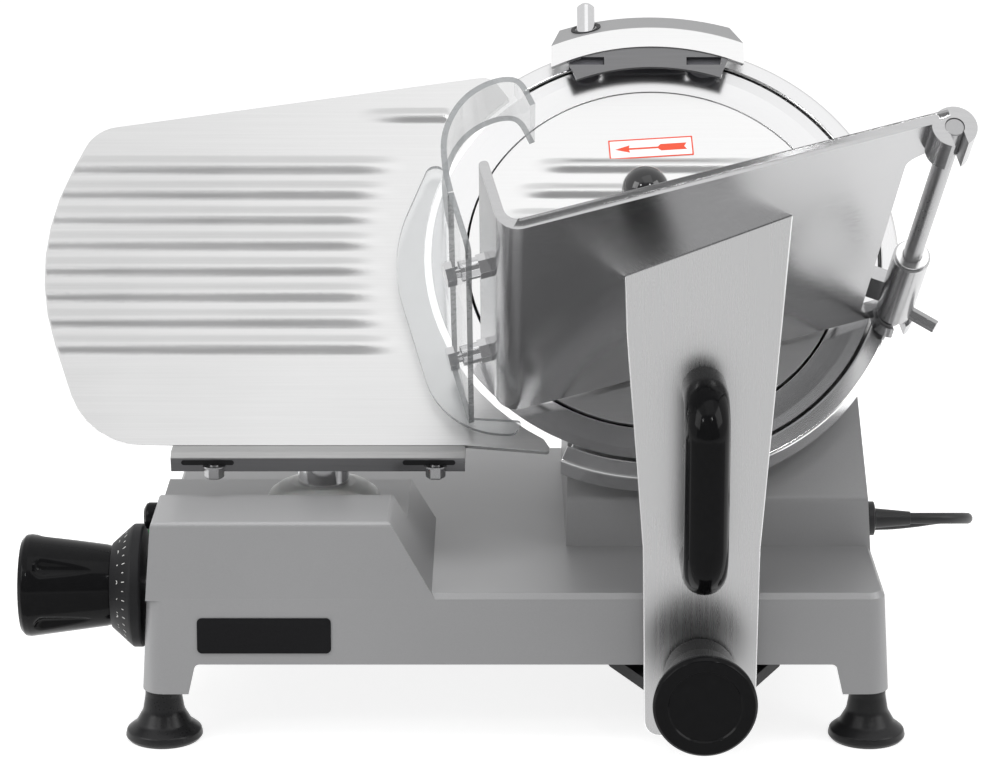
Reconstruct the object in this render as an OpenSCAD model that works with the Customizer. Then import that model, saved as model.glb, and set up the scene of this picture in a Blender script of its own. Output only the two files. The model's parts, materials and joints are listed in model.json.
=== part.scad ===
// Gravity-feed food slicer with a tilted blade, a sliding food carriage and a thickness dial.
// Millimetres. X runs left to right, Y front to back, Z up from the table.

/* [Blade] */
// Cutting diameter of the blade
blade_d = 250; // [240:1:256]
// Lean of the blade back from upright, degrees
blade_tilt = 40; // [38:0.5:42]
// Blade centre, left to right
blade_x = 96.4; // [92:0.2:100]
// Blade centre, front to back
blade_y = 43.5; // [40:0.5:47]
// Width of the blade that shows outside its ribbed cover
edge_w = 20.5; // [18:0.5:26]
// Gap between the blade edge and the guard ring
ring_gap = 1.5; // [1:0.1:3]
// Radial width of the guard ring
ring_band = 10.5; // [8:0.5:14]
// Depth of the guard ring along the blade axis
ring_depth = 14; // [10:0.5:16]

/* [Base casting] */
// Left end of the casting at tray height
base_left = -179.3; // [-187.3:0.2:-173.3]
// Length of the casting at tray height
base_l = 395.2; // [385:0.2:410]
// Front face of the casting
base_front = -96.5; // [-100:0.5:-94]
// Depth of the casting
base_depth = 282.8; // [280:0.2:300]
// Height of the slice tray
base_top = 88.5; // [85:0.5:92]
// Height of the lower edge of the skirt
skirt_z = 49.5; // [47:0.5:52]
// Height of the lower end of the legs
leg_z = 33; // [30:0.5:36]
// Wall thickness of the casting
wall = 4; // [3:0.1:4.5]
// Height of the control block
block_top = 128; // [125:0.5:131]
// Height of the ledge behind the control block
ledge_z = 114; // [113:0.5:117]
// Front wall of the motor tower
tower_front = -12.5; // [-16:0.5:-9]
// Left wall of the motor tower
tower_left = 46.5; // [42:0.5:48]
// Back wall of the motor tower
tower_back = 158; // [157:0.5:164]
// Height of the motor tower
tower_top = 254; // [252:0.5:260]

/* [Thickness gauge] */
// Length of the gauge plate to the left of the blade centre
gauge_l = 352; // [340:1:360]
// Thickness of the gauge plate
gauge_t = 4; // [3:0.1:5]
// Pitch of the ribs on the plate and on the blade cover
rib_pitch = 16.1; // [14:0.1:18]
// Height of the ribs
rib_h = 1.7; // [1:0.1:2]
// Diameter of the gauge post
post_d = 28.5; // [24:0.5:30]
// Height of the gauge bar above the table
bar_z = 142; // [139:0.5:143]
// Diameter of the dial skirt
dial_d = 67; // [60:0.5:68]
// Length of the dial knob
dial_knob_l = 50; // [40:1:55]
// Turn of the dial from zero to the thickest slice, degrees
dial_turn = 300; // [240:5:320]
// Gauge travel for one radian of dial turn
scroll_pitch = 3; // [2.4:0.05:3]

/* [Carriage] */
// Sideways tilt of the food tray, degrees
tray_roll = 16; // [14:0.5:18]
// Depth of the food tray along the blade axis
tray_depth = 214; // [205:1:216]
// Thickness of the tray plate
tray_t = 6; // [4:0.1:7]
// Height of the tray fence
fence_h = 42; // [36:1:48]
// Carriage arm centre, left to right
arm_x = 116; // [110:0.5:118]
// Thickness of the carriage arm
arm_t = 6; // [5:0.1:8]
// Diameter of the carriage slide rod
rod_d = 14; // [12:0.5:16]
// Diameter of the clamp knob
clamp_d = 54.6; // [46:0.2:58]
// Diameter of the arm handle
handle_d = 23.6; // [20:0.2:26]
// Diameter of the pusher rod
pusher_rod_d = 10; // [8:0.2:11]
// Lean of the pusher rod across the tray, degrees
rod_lean = 3; // [0:0.5:4]

/* [Feet and lead] */
// Diameter of a foot on the table
foot_d = 42; // [36:0.5:46]
// Diameter of the mains lead
cord_d = 6.4; // [6:0.1:6.4]

/* [Hidden] */
$fn = 48;

// Clearances: a running fit, a sliding gap between bodies and a loose hole
run = 0.05;
gap = 0.3;
loose = 0.6;
// Overlap that joins fused shapes, and overshoot of a cut
fuse = 0.5;
cut = 1;

// Casting box
bx0 = base_left;
bx1 = base_left + base_l;
by0 = base_front;
by1 = base_front + base_depth;
draft = 2.2;
corner_r = 9;
edge_r = 3;
leg_draft = draft * (base_top - edge_r - leg_z) / (base_top - edge_r - skirt_z);
cavity_low = base_top - wall - 2;

// Control block
block_left = bx0 + 3.5;
block_right = bx0 + 130.7;
block_foot = bx0 + 152.8;
ridge_y = by0 + 54;
ledge_back = by0 + 131;
block_back = by0 + 137;

// Motor tower: its face lies parallel to the blade, this far behind the edge
tower_gap = 38;
tower_draft = 3;
tower_lean = 11.5;
tower_back_top = tower_back - 19;

// Blade and its drive, along the blade axis from the cutting edge
blade_r = blade_d / 2;
cover_r = blade_r - edge_w;
ring_in = blade_r + ring_gap;
ring_out = ring_in + ring_band;
dish_front = -8;
dish_back = -11;
hub_back = -17;
spigot_r = 15;
shaft_r = 8.5;
tie_r = 4;
bearing_r = 20;
bearing_w = 12;
housing_front = -tower_gap + 20;
housing_back = -tower_gap - 13;
housing_r = 26;
pulley_front = housing_back - 3;
pulley_w = 16;
pulley_r = 38;
shaft_end = pulley_front - pulley_w - 1;
motor_pulley_r = 10;
motor_u = 28;
motor_v = -70;
motor_r = 42;
motor_l = 74;
motor_front = pulley_front - pulley_w - 6;
motor_shaft_r = 6;
fan_r = 36;
belt_t = 3;
ring_web = 4;
ring_start = -113;
ring_sweep = 238;
knob_seat = -(tower_back - blade_y + 9 * sin(blade_tilt) + gap) / cos(blade_tilt);

// Sharpener over the top of the blade
hood_r0 = ring_in + 1;
hood_r1 = ring_out + 3;
hood_r2 = ring_out + 20.5;
hood_w = 12;
hood_t = 3;
hood_back = -30;
hood_a = [69, 113];
shield_r = blade_r - 10.5;
pin_u = -37;
pin_w = 1.5;
pin_r = 5.2;
pin_low = ring_out + 2;
pin_top = ring_out + 24;
press_travel = 5;

// Dial and scroll
dial_y = by0 + 38;
dial_z = skirt_z + 31.5;
dial_gap = 3.5;
dial_band = 6.5;
dial_cone = 11;
dial_shaft_r = 5;
scroll_w = 9;
scroll_groove = 5;
seat_l = 14;
scroll_x = bx0 + seat_l + 0.2;
follower_r = 2.5;
scroll_r0 = 8;
gauge_travel = scroll_pitch * dial_turn * PI / 180;
scroll_r = scroll_r0 + gauge_travel + follower_r + loose + 2;

// Gauge carriage
post_x = bx0 + 91.5;
post_y = ridge_y + 34;
post_r = post_d / 2;
guide_x = post_x - 33;
guide_z = base_top + 5.5;
guide_r = 6;
slide_z0 = guide_z - 12;
slide_z1 = ledge_z - wall - 4;
bar_h = 10;
bar_l = 159.7;
bar_x0 = bx0 + 10.5;
bar_y0 = post_y - 38;
bar_y1 = post_y + post_r + 1;
bolt_x = [bar_x0 + 23.5, bar_x0 + bar_l - 16];
bolt_y = bar_y0 + 11;
bolt_r = 4;
bolt_pocket = 2.5;
foot_flange = 4;
gauge_edge_r = blade_r + 4;
gauge_low = -(blade_r - 8.5);
plate_set = 0.456;
blade_z = bar_z + bar_h - gauge_low * cos(blade_tilt) + plate_set;

// Carriage slide
rod_r = rod_d / 2;
rod_y = by0 + 70;
rod_z = skirt_z + 11;
rail_y = by0 + 114;
rail_r = 5;
bush_t = 2.5;
housing_t = 3;
foot_half = 47;
foot_z0 = leg_z + 3;
foot_z1 = foot_z0 + 7;
tab_t = 6;
tab_gap = 1.8;
tab_back = by0 - draft - tab_gap;
arm_back = tab_back - tab_t;
arm_front = arm_back - arm_t;
clamp_z = skirt_z + 1;
clamp_l = 55.5;
stud_r = 5;

// Food tray, set on the blade plane
tray_u = -86;
tray_v = -99.5;
tray_near = 3;
tray_far = tray_near + tray_depth;
fence_t = 5;
rod_tau = 223.5;
rod_h = -4;
prod_r = pusher_rod_d / 2;
clip_r = prod_r + 6.5;
sleeve_low = tray_near + 11;
sleeve_l = 66;
bush_r = prod_r + 2;
sleeve_r = bush_r + 3;
collar_w = 2;
guard_off = 16;
guard_t = 3;
guard_bolt_w = [46, 147];
guard_bolt_h = 20;
guard_bolt_r = 3;

// Left end controls
box_x = bx0 - 9;
button_r = 8;
button_y = [by0 + 149, by0 + 173];
button_z = base_top - 16;
button_out = 3.5;
button_in = 2.5;
lamp_y = by0 + 42;
lamp_z = block_top - 9;
lamp_r = 7.5;

// Mains lead: out of the gland, round a bend, down behind the casting and into a coil
cord_r = cord_d / 2;
gland_y = 1;
gland_z = 100.5;
gland_end = bx1 + 23.1;
coil_x = bx1 - 47.9;
coil_y = by1 + 64.7;
coil_out = 44;
coil_turns = 5.25;
coil_pitch = 7;
coil_z = 4.3;
coil_layer = 6.9;
plug_z = 18;
// Way of the lead: reach right of the casting, way back to the coil, height
lead_way = [
    [23.1, 0, 100.5], [32.1, 0, 100.5], [45.1, 3.3, 99.5], [54.6, 12.4, 96.7], [58.1, 24.8, 92.8],
    [54.6, 37.2, 89], [45.1, 46.3, 86], [32.1, 49.7, 83], [19.1, 53.2, 80.5], [9.6, 62.7, 77],
    [6.4, 75.7, 71.5], [6.6, 91, 63], [7.6, 107, 52.5], [9.6, 123, 41], [12.1, 139, 30],
    [14.1, 155, 21], [14.6, 171, 13.8], [12.6, 187, 8.8], [8.6, 202, 5.8], [2.7, 216, 4.6],
    [-2.3, 228, 4.35], [-3.9, 237, 4.3], [-3.9, 243.5, 4.3]
];
lead_back = (coil_y - gland_y) / 250;
cord_route = [for (p = lead_way) [bx1 + p.x, gland_y + p.y * lead_back, p.z]];

// Plane geometry
corner_steps = 6;
function unit(v) = v / norm(v);
function xy(p) = [p.x, p.y];
function polar(r, a) = r * [cos(a), sin(a)];
function corner(a, b, c, r) =
    let (u = unit(a - b), v = unit(c - b), half = acos(u * v) / 2,
         q = b + unit(u + v) * r / sin(half),
         s = b + u * r / tan(half) - q, e = b + v * r / tan(half) - q,
         sweep = (180 - 2 * half) * (cross(s, e) >= 0 ? 1 : -1))
    [for (i = [0:corner_steps]) q + polar(r, atan2(s.y, s.x) + sweep * i / corner_steps)];
// Polygon from corners [x, y, fillet radius]
function rounded(p) =
    let (n = len(p))
    [for (i = [0:n - 1]) each p[i].z == 0 ? [xy(p[i])]
        : corner(xy(p[(i + n - 1) % n]), xy(p[i]), xy(p[(i + 1) % n]), p[i].z)];
function box_outline(x0, x1, y0, y1, r) = rounded([[x0, y0, r], [x1, y0, r], [x1, y1, r], [x0, y1, r]]);
// Strip of even width along a path
function ribbon(p, w) =
    let (n = len(p) - 1, t = [for (i = [0:n]) unit(p[min(i + 1, n)] - p[max(i - 1, 0)])])
    concat([for (i = [0:n]) p[i] + w / 2 * [-t[i].y, t[i].x]],
           [for (i = [n:-1:0]) p[i] - w / 2 * [-t[i].y, t[i].x]]);
function arc(r, a0, a1, n) = [for (i = [0:n]) polar(r, a0 + (a1 - a0) * i / n)];

// Frames: the blade plane (x right, y up the slope, z towards the operator) and the tray in it
module in_blade() translate([blade_x, blade_y, blade_z]) rotate([90 - blade_tilt, 0, 0]) children();
module on_tray() in_blade() translate([tray_u, tray_v, 0]) rotate([0, 0, tray_roll]) children();
module on_rod() on_tray() translate([rod_tau, rod_h, 0]) rotate([0, rod_lean, 0]) children();
module along_x(p) translate(p) rotate([0, 90, 0]) children();
module along_y(p) translate(p) rotate([-90, 0, 0]) children();
module toward_front(p) translate(p) rotate([90, 0, 0]) children();
// Profile in Y and Z drawn along X, and profile in X and Z drawn along Y
module extrude_x(x0, x1) translate([x0, 0, 0]) rotate([90, 0, 90]) linear_extrude(x1 - x0) children();
module extrude_y(y0, y1) translate([0, y1, 0]) rotate([90, 0, 0]) linear_extrude(y1 - y0) children();
module tube_ring(r1, r0, h) difference() {
    cylinder(r = r1, h = h);
    translate([0, 0, -cut]) cylinder(r = r0, h = h + 2 * cut);
}

// Swept tube along a path that is never upright
function tube_points(p, r, sides) =
    let (n = len(p) - 1)
    [for (i = [0:n])
        let (t = unit(p[min(i + 1, n)] - p[max(i - 1, 0)]), s = unit(cross(t, [0, 0, 1])), up = cross(s, t))
        for (k = [0:sides - 1]) p[i] + r * (cos(360 * k / sides) * s + sin(360 * k / sides) * up)];
function tube_faces(n, sides) = concat(
    [for (i = [0:n - 2]) for (k = [0:sides - 1])
        let (a = i * sides + k, b = i * sides + (k + 1) % sides)
        each [[a, b, b + sides], [a, b + sides, a + sides]]],
    [for (k = [1:sides - 2]) [0, k + 1, k]],
    [for (k = [1:sides - 2]) (n - 1) * sides * [1, 1, 1] + [0, k, k + 1]]);
module tube(p, r, sides) polyhedron(tube_points(p, r, sides), tube_faces(len(p), sides));

// Casting solids: inset 0 gives the outside, inset wall gives the cavity
module slab(g, z) translate([0, 0, z]) linear_extrude(0.01)
    polygon(box_outline(bx0 + g, bx1 - g, by0 + g, by1 - g, corner_r - min(g, wall)));
module body_solid(g) hull() {
    slab(g - leg_draft, leg_z - (g > 0 ? cut : 0));
    slab(g, base_top - edge_r - g);
    slab(g + edge_r * 0.7, base_top - 0.01 - g);
}
function block_side(g, low) = rounded([
    [by0 + g, low, 0], [by0 + 1 + g, block_top - g, edge_r], [ridge_y - g, block_top - g, edge_r],
    [ridge_y + 2 - g, ledge_z - g, 0], [ledge_back - g, ledge_z - g, edge_r], [block_back - g, low, 0]]);
function block_face(g, low) =
    let (run_out = (block_foot - block_right) / (block_top - base_top))
    rounded([[bx0 + g, low, 0], [block_left + g, block_top - g, edge_r],
        [block_right - 0.6 * g, block_top - g, edge_r],
        [block_right + (block_top - low) * run_out - 1.15 * g, low, 0]]);
module block_solid(g, low) intersection() {
    extrude_x(bx0 - wall, block_foot + 2 * wall) polygon(block_side(g, low));
    extrude_y(by0 - wall, by1) polygon(block_face(g, low));
}
// Height and depth of a point of the blade plane: v up the slope, w in front of the edge
function plane_y(v, w) = blade_y + v * sin(blade_tilt) - w * cos(blade_tilt);
function plane_z(v, w) = blade_z + v * cos(blade_tilt) + w * sin(blade_tilt);
function v_at_y(y, w) = (y - blade_y + w * cos(blade_tilt)) / sin(blade_tilt);
function v_at_z(z, w) = (z - blade_z - w * sin(blade_tilt)) / cos(blade_tilt);
function tower_side(g, low) =
    let (w = -tower_gap - g, crease = v_at_y(tower_front + g, w), top = v_at_z(tower_top - g, w))
    rounded([[tower_front + g, low, 0], [tower_front + g, plane_z(crease, w), 6],
        [plane_y(top, w), tower_top - g, 12], [tower_back_top - g, tower_top - g, 20],
        [tower_back - g, base_top + 66, 30], [tower_back - g, low, 0]]);
function tower_face(g, low) = rounded([[tower_left + g, low, 0],
    [tower_left + tower_draft + g, tower_top - g, 14], [bx1 - tower_lean - g, tower_top - g, 14],
    [bx1 - g, low, 0]]);
module tower_solid(g, low) intersection() {
    extrude_x(tower_left - wall, bx1 + wall) polygon(tower_side(g, low));
    extrude_y(by0, by1) polygon(tower_face(g, low));
}
leg_w = 22;
leg_run = 36;
foot_inset_x = 6.6;
foot_inset_y = 20;
foot_x = [bx0 + foot_inset_x, bx1 - foot_inset_x];
foot_y = [by0 + foot_inset_y, by1 - foot_inset_y];
foot_stud_r = 4;
// Windows between the legs, on the long sides and at the ends
module leg_windows() {
    extrude_y(by0 - 9, by1 + 9) polygon(rounded([[bx0 + leg_w, leg_z - cut, 0], [bx1 - leg_w, leg_z - cut, 0],
        [bx1 - leg_w - 4, skirt_z, 3], [bx0 + leg_w + 4, skirt_z, 3]]));
    extrude_x(bx0 - 9, bx1 + 9) polygon(rounded([[by0 + leg_run, leg_z - cut, 0], [by1 - leg_run, leg_z - cut, 0],
        [by1 - leg_run - 4, skirt_z, 3], [by0 + leg_run + 4, skirt_z, 3]]));
}
module rod_seats(y, r) for (side = [0, 1])
    along_x([side == 0 ? bx0 - fuse : bx1 + fuse - seat_l, y, rod_z]) cylinder(r = r + 4, h = seat_l);
module rod_bores(y, r) along_x([bx0 + 0.8, y, rod_z]) cylinder(r = r + 0.02, h = base_l - 1.6);

module base_casting() color("#a3a5a7") difference() {
    union() {
        difference() {
            union() {
                body_solid(0);
                block_solid(0, base_top - wall);
                tower_solid(0, base_top - wall);
                in_blade() translate([0, 0, knob_seat]) cylinder(r = 17, h = 16);
            }
            body_solid(wall);
            block_solid(wall, cavity_low);
            tower_solid(wall, cavity_low);
            leg_windows();
        }
        for (x = foot_x, y = foot_y) translate([x, y, leg_z]) cylinder(r = 7.5, h = skirt_z - leg_z + 3);
        rod_seats(rod_y, rod_r);
        rod_seats(rail_y, rail_r);
        along_x([bx0 - fuse, dial_y, dial_z]) cylinder(r = 11, h = seat_l);
        along_y([guide_x, by0 + wall - fuse, guide_z]) cylinder(r = guide_r + 4, h = 10);
    }
    rod_bores(rod_y, rod_r);
    rod_bores(rail_y, rail_r);
    along_x([bx0 - 9, dial_y, dial_z]) cylinder(r = dial_shaft_r + run, h = 24);
    along_y([guide_x, by0 + wall, guide_z]) cylinder(r = guide_r + 0.02, h = block_back - by0 - wall - 3);
    // Slot for the gauge post, seats of the bearing housing and tie rod, holes for lead, lamp and feet
    translate([post_x, post_y, ledge_z - wall - cut]) linear_extrude(wall + 2 * cut)
        polygon(concat(arc(post_r + loose, 180, 360, 24),
            [for (p = arc(post_r + loose, 0, 180, 24)) p + [0, gauge_travel]]));
    in_blade() translate([0, 0, -tower_gap - wall - cut]) cylinder(r = housing_r + gap, h = wall + 2 * cut);
    in_blade() translate([0, 0, knob_seat - cut]) cylinder(r = tie_r + loose, h = 40);
    along_x([bx1 - tower_lean - wall, gland_y, gland_z]) cylinder(r = cord_r + 2, h = tower_lean + 2 * wall);
    along_x([bx0 - wall, lamp_y, lamp_z]) cylinder(r = 4 + run, h = 3 * wall);
    for (x = foot_x, y = foot_y) translate([x, y, leg_z - cut]) cylinder(r = foot_stud_r + 0.1, h = 15);
}

module bottom_plate() color("#77797b") translate([0, 0, skirt_z + 0.3]) linear_extrude(1.5)
    polygon(box_outline(bx0 + leg_w + 6, bx1 - leg_w - 6, by0 + 140, by1 + draft - wall - gap, 6));

// Trumpet foot
function foot_curve() = [for (i = [0:8]) let (s = i / 8)
    [foot_d / 2 - (foot_d / 2 - 9.6) * pow(s, 0.45), 4 + (leg_z - 9) * pow(s, 1.5)]];
module foot() rotate_extrude() polygon(concat([[0, 0], [foot_d / 2 - 1.5, 0], [foot_d / 2, 1.5]],
    foot_curve(), [[9.6, leg_z], [foot_stud_r, leg_z], [foot_stud_r, leg_z + 13], [0, leg_z + 13]]));
module feet() color("#1c1c1d") for (x = foot_x, y = foot_y) translate([x, y, 0]) foot();

module slide_rod() color("#c9cbcd") along_x([bx0 + 1, rod_y, rod_z]) cylinder(r = rod_r, h = base_l - 2);
module guide_rail() color("#c9cbcd") along_x([bx0 + 1, rail_y, rod_z]) cylinder(r = rail_r, h = base_l - 2);
module gauge_guide_rod() color("#c9cbcd")
    along_y([guide_x, by0 + wall + 0.2, guide_z]) cylinder(r = guide_r, h = block_back - by0 - wall - 3.4);

// Motor and drive
module on_motor() in_blade() translate([motor_u, motor_v, 0]) children();
module motor_body() color("#4b4f55") on_motor() difference() {
    union() {
        translate([0, 0, motor_front - motor_l]) cylinder(r = motor_r - 2, h = motor_l);
        for (w = [motor_front - motor_l, motor_front - 14])
            translate([0, 0, w]) cylinder(r = motor_r, h = 14);
        for (a = [0:30:330]) rotate(a) translate([motor_r - 4, -1.5, motor_front - motor_l + 14])
            cube([3.4, 3, motor_l - 28]);
    }
    translate([0, 0, motor_front - motor_l - cut]) cylinder(r = motor_shaft_r + run, h = motor_l + 2 * cut);
}
motor_post_a = [20, 200, 260, 320];
module motor_bracket() color("#8d9093") on_motor() difference() {
    union() {
        translate([0, 0, motor_front]) cylinder(r = motor_r, h = 4);
        for (a = motor_post_a) rotate(a) translate([motor_r - 7, 0, motor_front])
            cylinder(r = 5, h = -tower_gap - wall - motor_front - run);
    }
    translate([0, 0, motor_front - cut]) cylinder(r = motor_pulley_r + 6, h = 6 + cut);
}
module motor_shaft() color("#c9cbcd") on_motor() translate([0, 0, motor_front - motor_l - 11])
    cylinder(r = motor_shaft_r, h = motor_l + 11 + pulley_front - motor_front);
// Ribbed pulley rim with grooves
function pulley_rim(r, n) = concat([[0, 0]],
    [for (i = [0:n - 1]) each [[r, pulley_w * (i + 0.25) / n], [r - 2, pulley_w * (i + 0.5) / n],
        [r, pulley_w * (i + 0.75) / n]]], [[0, pulley_w]]);
module pulley(r, bore) difference() {
    rotate_extrude() polygon(concat(pulley_rim(r, 4), []));
    translate([0, 0, -cut]) cylinder(r = bore, h = pulley_w + 2 * cut);
}
module motor_pulley() color("#2f3133") on_motor() translate([0, 0, pulley_front - pulley_w])
    pulley(motor_pulley_r, motor_shaft_r);
module motor_fan() color("#2f3133") on_motor() translate([0, 0, motor_front - motor_l - 10.5]) difference() {
    union() {
        cylinder(r = 12, h = 9);
        cylinder(r = fan_r, h = 1.5);
        for (a = [0:40:320]) rotate(a) translate([10, -0.8, 0]) cube([fan_r - 10, 1.6, 9]);
    }
    translate([0, 0, -cut]) cylinder(r = motor_shaft_r, h = 9 + 2 * cut);
}
module belt_loop(extra) hull() {
    circle(r = pulley_r + extra, $fn = 32);
    translate([motor_u, motor_v]) circle(r = motor_pulley_r + extra, $fn = 32);
}
module drive_belt() color("#1c1c1d") in_blade() translate([0, 0, pulley_front - pulley_w + 1])
    linear_extrude(pulley_w - 2) difference() {
        belt_loop(gap + belt_t);
        belt_loop(gap);
    }
module bearing_housing() color("#b5b7b9") in_blade() difference() {
    union() {
        translate([0, 0, housing_back]) cylinder(r = housing_r, h = housing_front - housing_back);
        translate([0, 0, -tower_gap]) cylinder(r = 44, h = 6);
        for (a = [45:90:315]) rotate(a) translate([36, 0, -tower_gap]) cylinder(r = 5, h = 9, $fn = 6);
    }
    translate([0, 0, housing_back - cut]) cylinder(r = bearing_r + 0.02, h = bearing_w + cut);
    translate([0, 0, housing_front - bearing_w]) cylinder(r = bearing_r + 0.02, h = bearing_w + cut);
    translate([0, 0, housing_back]) cylinder(r = bearing_r - 3, h = housing_front - housing_back);
}
module shaft_bearings() color("#d4d6d8") in_blade()
    for (w = [housing_back, housing_front - bearing_w]) translate([0, 0, w])
        tube_ring(bearing_r, shaft_r + run, bearing_w);

// Guard ring: a C-shaped rim on a web that stands on the tower face
ring_posts = [18, -35, -90];
module ring_guard() color("#b9bbbd") in_blade() {
    rotate(ring_start) rotate_extrude(angle = ring_sweep, $fn = 96) polygon([[52, -ring_depth - ring_web],
        [ring_out, -ring_depth - ring_web], [ring_out, -1], [ring_out - 1, 0], [ring_in + 1, 0], [ring_in, -1],
        [ring_in, -ring_depth], [52, -ring_depth]]);
    for (a = ring_posts) rotate(a) translate([86, 0, -tower_gap])
        cylinder(r = 9, h = tower_gap - ring_depth - ring_web + fuse);
}

// Blade: ground edge, dished middle for the cover, hub hole and screw holes
screw_pcd = 25;
screw_a = [45:90:315];
module blade() color("#d6d8da") in_blade() difference() {
    rotate_extrude($fn = 96) polygon([[spigot_r, dish_back], [cover_r - 6, dish_back], [blade_r - 14, -7],
        [blade_r, -0.5], [blade_r, 0], [blade_r - 6, -1.2], [cover_r + 1.5, -2.6], [cover_r - 0.5, dish_front],
        [spigot_r, dish_front]]);
    for (a = screw_a) rotate(a) translate([screw_pcd, 0, dish_back - cut]) cylinder(r = 3.1, h = 6);
}
module blade_shaft() color("#c0c2c4") in_blade() difference() {
    union() {
        translate([0, 0, hub_back]) cylinder(r = 35, h = dish_back - hub_back);
        translate([0, 0, dish_back - fuse]) cylinder(r = spigot_r - 0.02, h = dish_front - dish_back + fuse);
        translate([0, 0, shaft_end]) cylinder(r = shaft_r, h = hub_back - shaft_end + fuse);
    }
    translate([0, 0, shaft_end - cut]) cylinder(r = tie_r + loose, h = -shaft_end);
    for (a = screw_a) rotate(a) translate([screw_pcd, 0, hub_back - cut]) cylinder(r = 3.1, h = 8);
}
module blade_screws() color("#c9cbcd") in_blade() for (a = screw_a) rotate(a) translate([screw_pcd, 0, 0]) {
    translate([0, 0, hub_back]) cylinder(r = 3, h = dish_front - hub_back + fuse);
    translate([0, 0, dish_front]) cylinder(r = 5.5, h = 2.5);
}
module blade_pulley() color("#8d9093") in_blade() translate([0, 0, pulley_front - pulley_w]) difference() {
    pulley(pulley_r, shaft_r);
    for (a = [0:60:300]) rotate(a) translate([22, 0, -cut]) cylinder(r = 6.5, h = pulley_w + 2 * cut);
}

// Wave-shaped rib of the cover and the gauge plate, lying along x
rib_half = rib_pitch / 3;
module rib(x0, x1, v, face) translate([x0, v, face - fuse]) rotate([90, 0, 90]) linear_extrude(x1 - x0)
    polygon(concat([[-rib_half, 0], [-rib_half, fuse]],
        [for (i = [-5:5]) [rib_half * i / 6, fuse + rib_h * pow(cos(15 * i), 2)]], [[rib_half, fuse], [rib_half, 0]]));
rib_rows = [for (i = [0:7]) 57 - rib_pitch * i];
cover_face = -1;
cover_t = 3;
module blade_cover() color("#d9dbdd") in_blade() difference() {
    union() {
        translate([0, 0, cover_face - cover_t]) cylinder(r = cover_r, h = cover_t, $fn = 96);
        translate([0, 0, dish_front + 1]) cylinder(r = 12, h = -dish_front + cover_face - cover_t - 1 + fuse);
        for (v = rib_rows) let (x = sqrt(max(400, pow(cover_r - 38.5, 2) - v * v))) rib(-x, x, v, cover_face);
    }
    translate([0, 0, dish_front]) cylinder(r = tie_r + 0.02, h = -dish_front + cover_face - 1.5);
}
module cover_tie_rod() color("#c9cbcd") in_blade() translate([0, 0, knob_seat - 14])
    cylinder(r = tie_r, h = cover_face - 1.6 - knob_seat + 14);
module cover_knob() color("#1c1c1d") in_blade() translate([0, 0, knob_seat]) rotate([180, 0, 0]) difference() {
    rotate_extrude() polygon([[0, 0], [9, 0], [9, 3], [16, 6.5], [17, 8], [17, 16], [15, 19], [0, 19]]);
    translate([0, 0, -cut]) cylinder(r = tie_r + 0.02, h = 14.2 + cut);
    for (a = [0:45:315]) rotate(a) translate([19.5, 0, 4]) cylinder(r = 4, h = 20);
}

// Sharpener: a curved hood on the guard ring, a sprung pin and two stones under it
function hood_profile() = [[hood_r0, hood_w - hood_t], [hood_r0, hood_w], [hood_r1, hood_w],
    [hood_r2, hood_w - 18], [hood_r2, hood_back], [hood_r2 - hood_t, hood_back],
    [hood_r2 - hood_t, hood_w - 19.2], [hood_r1 - 1.2, hood_w - hood_t]];
function hood_section() = [[hood_r1 - 3, hood_w], [hood_r1, hood_w], [hood_r2, hood_w - 18], [hood_r2, hood_back],
    [ring_out + 1.5, hood_back], [ring_out + 1.5, hood_w - 4]];
module sector(a0, a1) rotate(a0) rotate_extrude(angle = a1 - a0, $fn = 96) children();
module sharpener_hood() color("#c4c6c8") in_blade() difference() {
    union() {
        sector(hood_a[0], hood_a[1]) polygon(hood_profile());
        for (a = [hood_a[0], hood_a[1] - 1.2]) sector(a, a + 1.2) polygon(hood_section());
        sector(82, 98) polygon([[ring_out, -17], [hood_r2 - hood_t + fuse, -17], [hood_r2 - hood_t + fuse, -8],
            [ring_out, -8]]);
    }
    translate([pin_u, ring_out - 4, pin_w]) rotate([-90, 0, 0]) cylinder(r = pin_r + gap, h = 40);
}
// Dark shield below the hood, slotted over the stones
module sharpener_shield() color("#3a3c3e") in_blade() difference() {
    sector(hood_a[0] + 1, hood_a[1] - 1) polygon([[shield_r, hood_w - hood_t + 0.2], [hood_r0, hood_w - hood_t + 0.2],
        [hood_r0, hood_w - 0.8], [shield_r, hood_w - 0.8]]);
    for (u = stone_u) translate([u - 10, blade_r - 9, 0]) cube([20, 5, hood_w + cut]);
}
stone_w = 5.5;
stone_t = 5;
stone_r = 10;
stone_v = blade_r - 3;
stone_u = [pin_u, -pin_u - 7];
module sharpener_pin() color("#d9dbdd") in_blade() translate([pin_u, pin_low, pin_w]) rotate([-90, 0, 0])
    rotate_extrude() polygon([[0, 0], [pin_r, 0], [pin_r, pin_top - pin_low - 2], [pin_r - 2, pin_top - pin_low],
        [0, pin_top - pin_low]]);
module sharpening_stones() color("#3a3a3c") in_blade() translate([0, 0, stone_w - stone_t / 2]) {
    for (u = stone_u) translate([u, stone_v, 0]) cylinder(r = stone_r, h = stone_t);
    translate([stone_u[0], stone_v - 3, 0.5]) cube([stone_u[1] - stone_u[0], 6, stone_t - 1]);
    translate([pin_u - 3, stone_v, 0]) cube([6, pin_low - stone_v, 3]);
}

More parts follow.
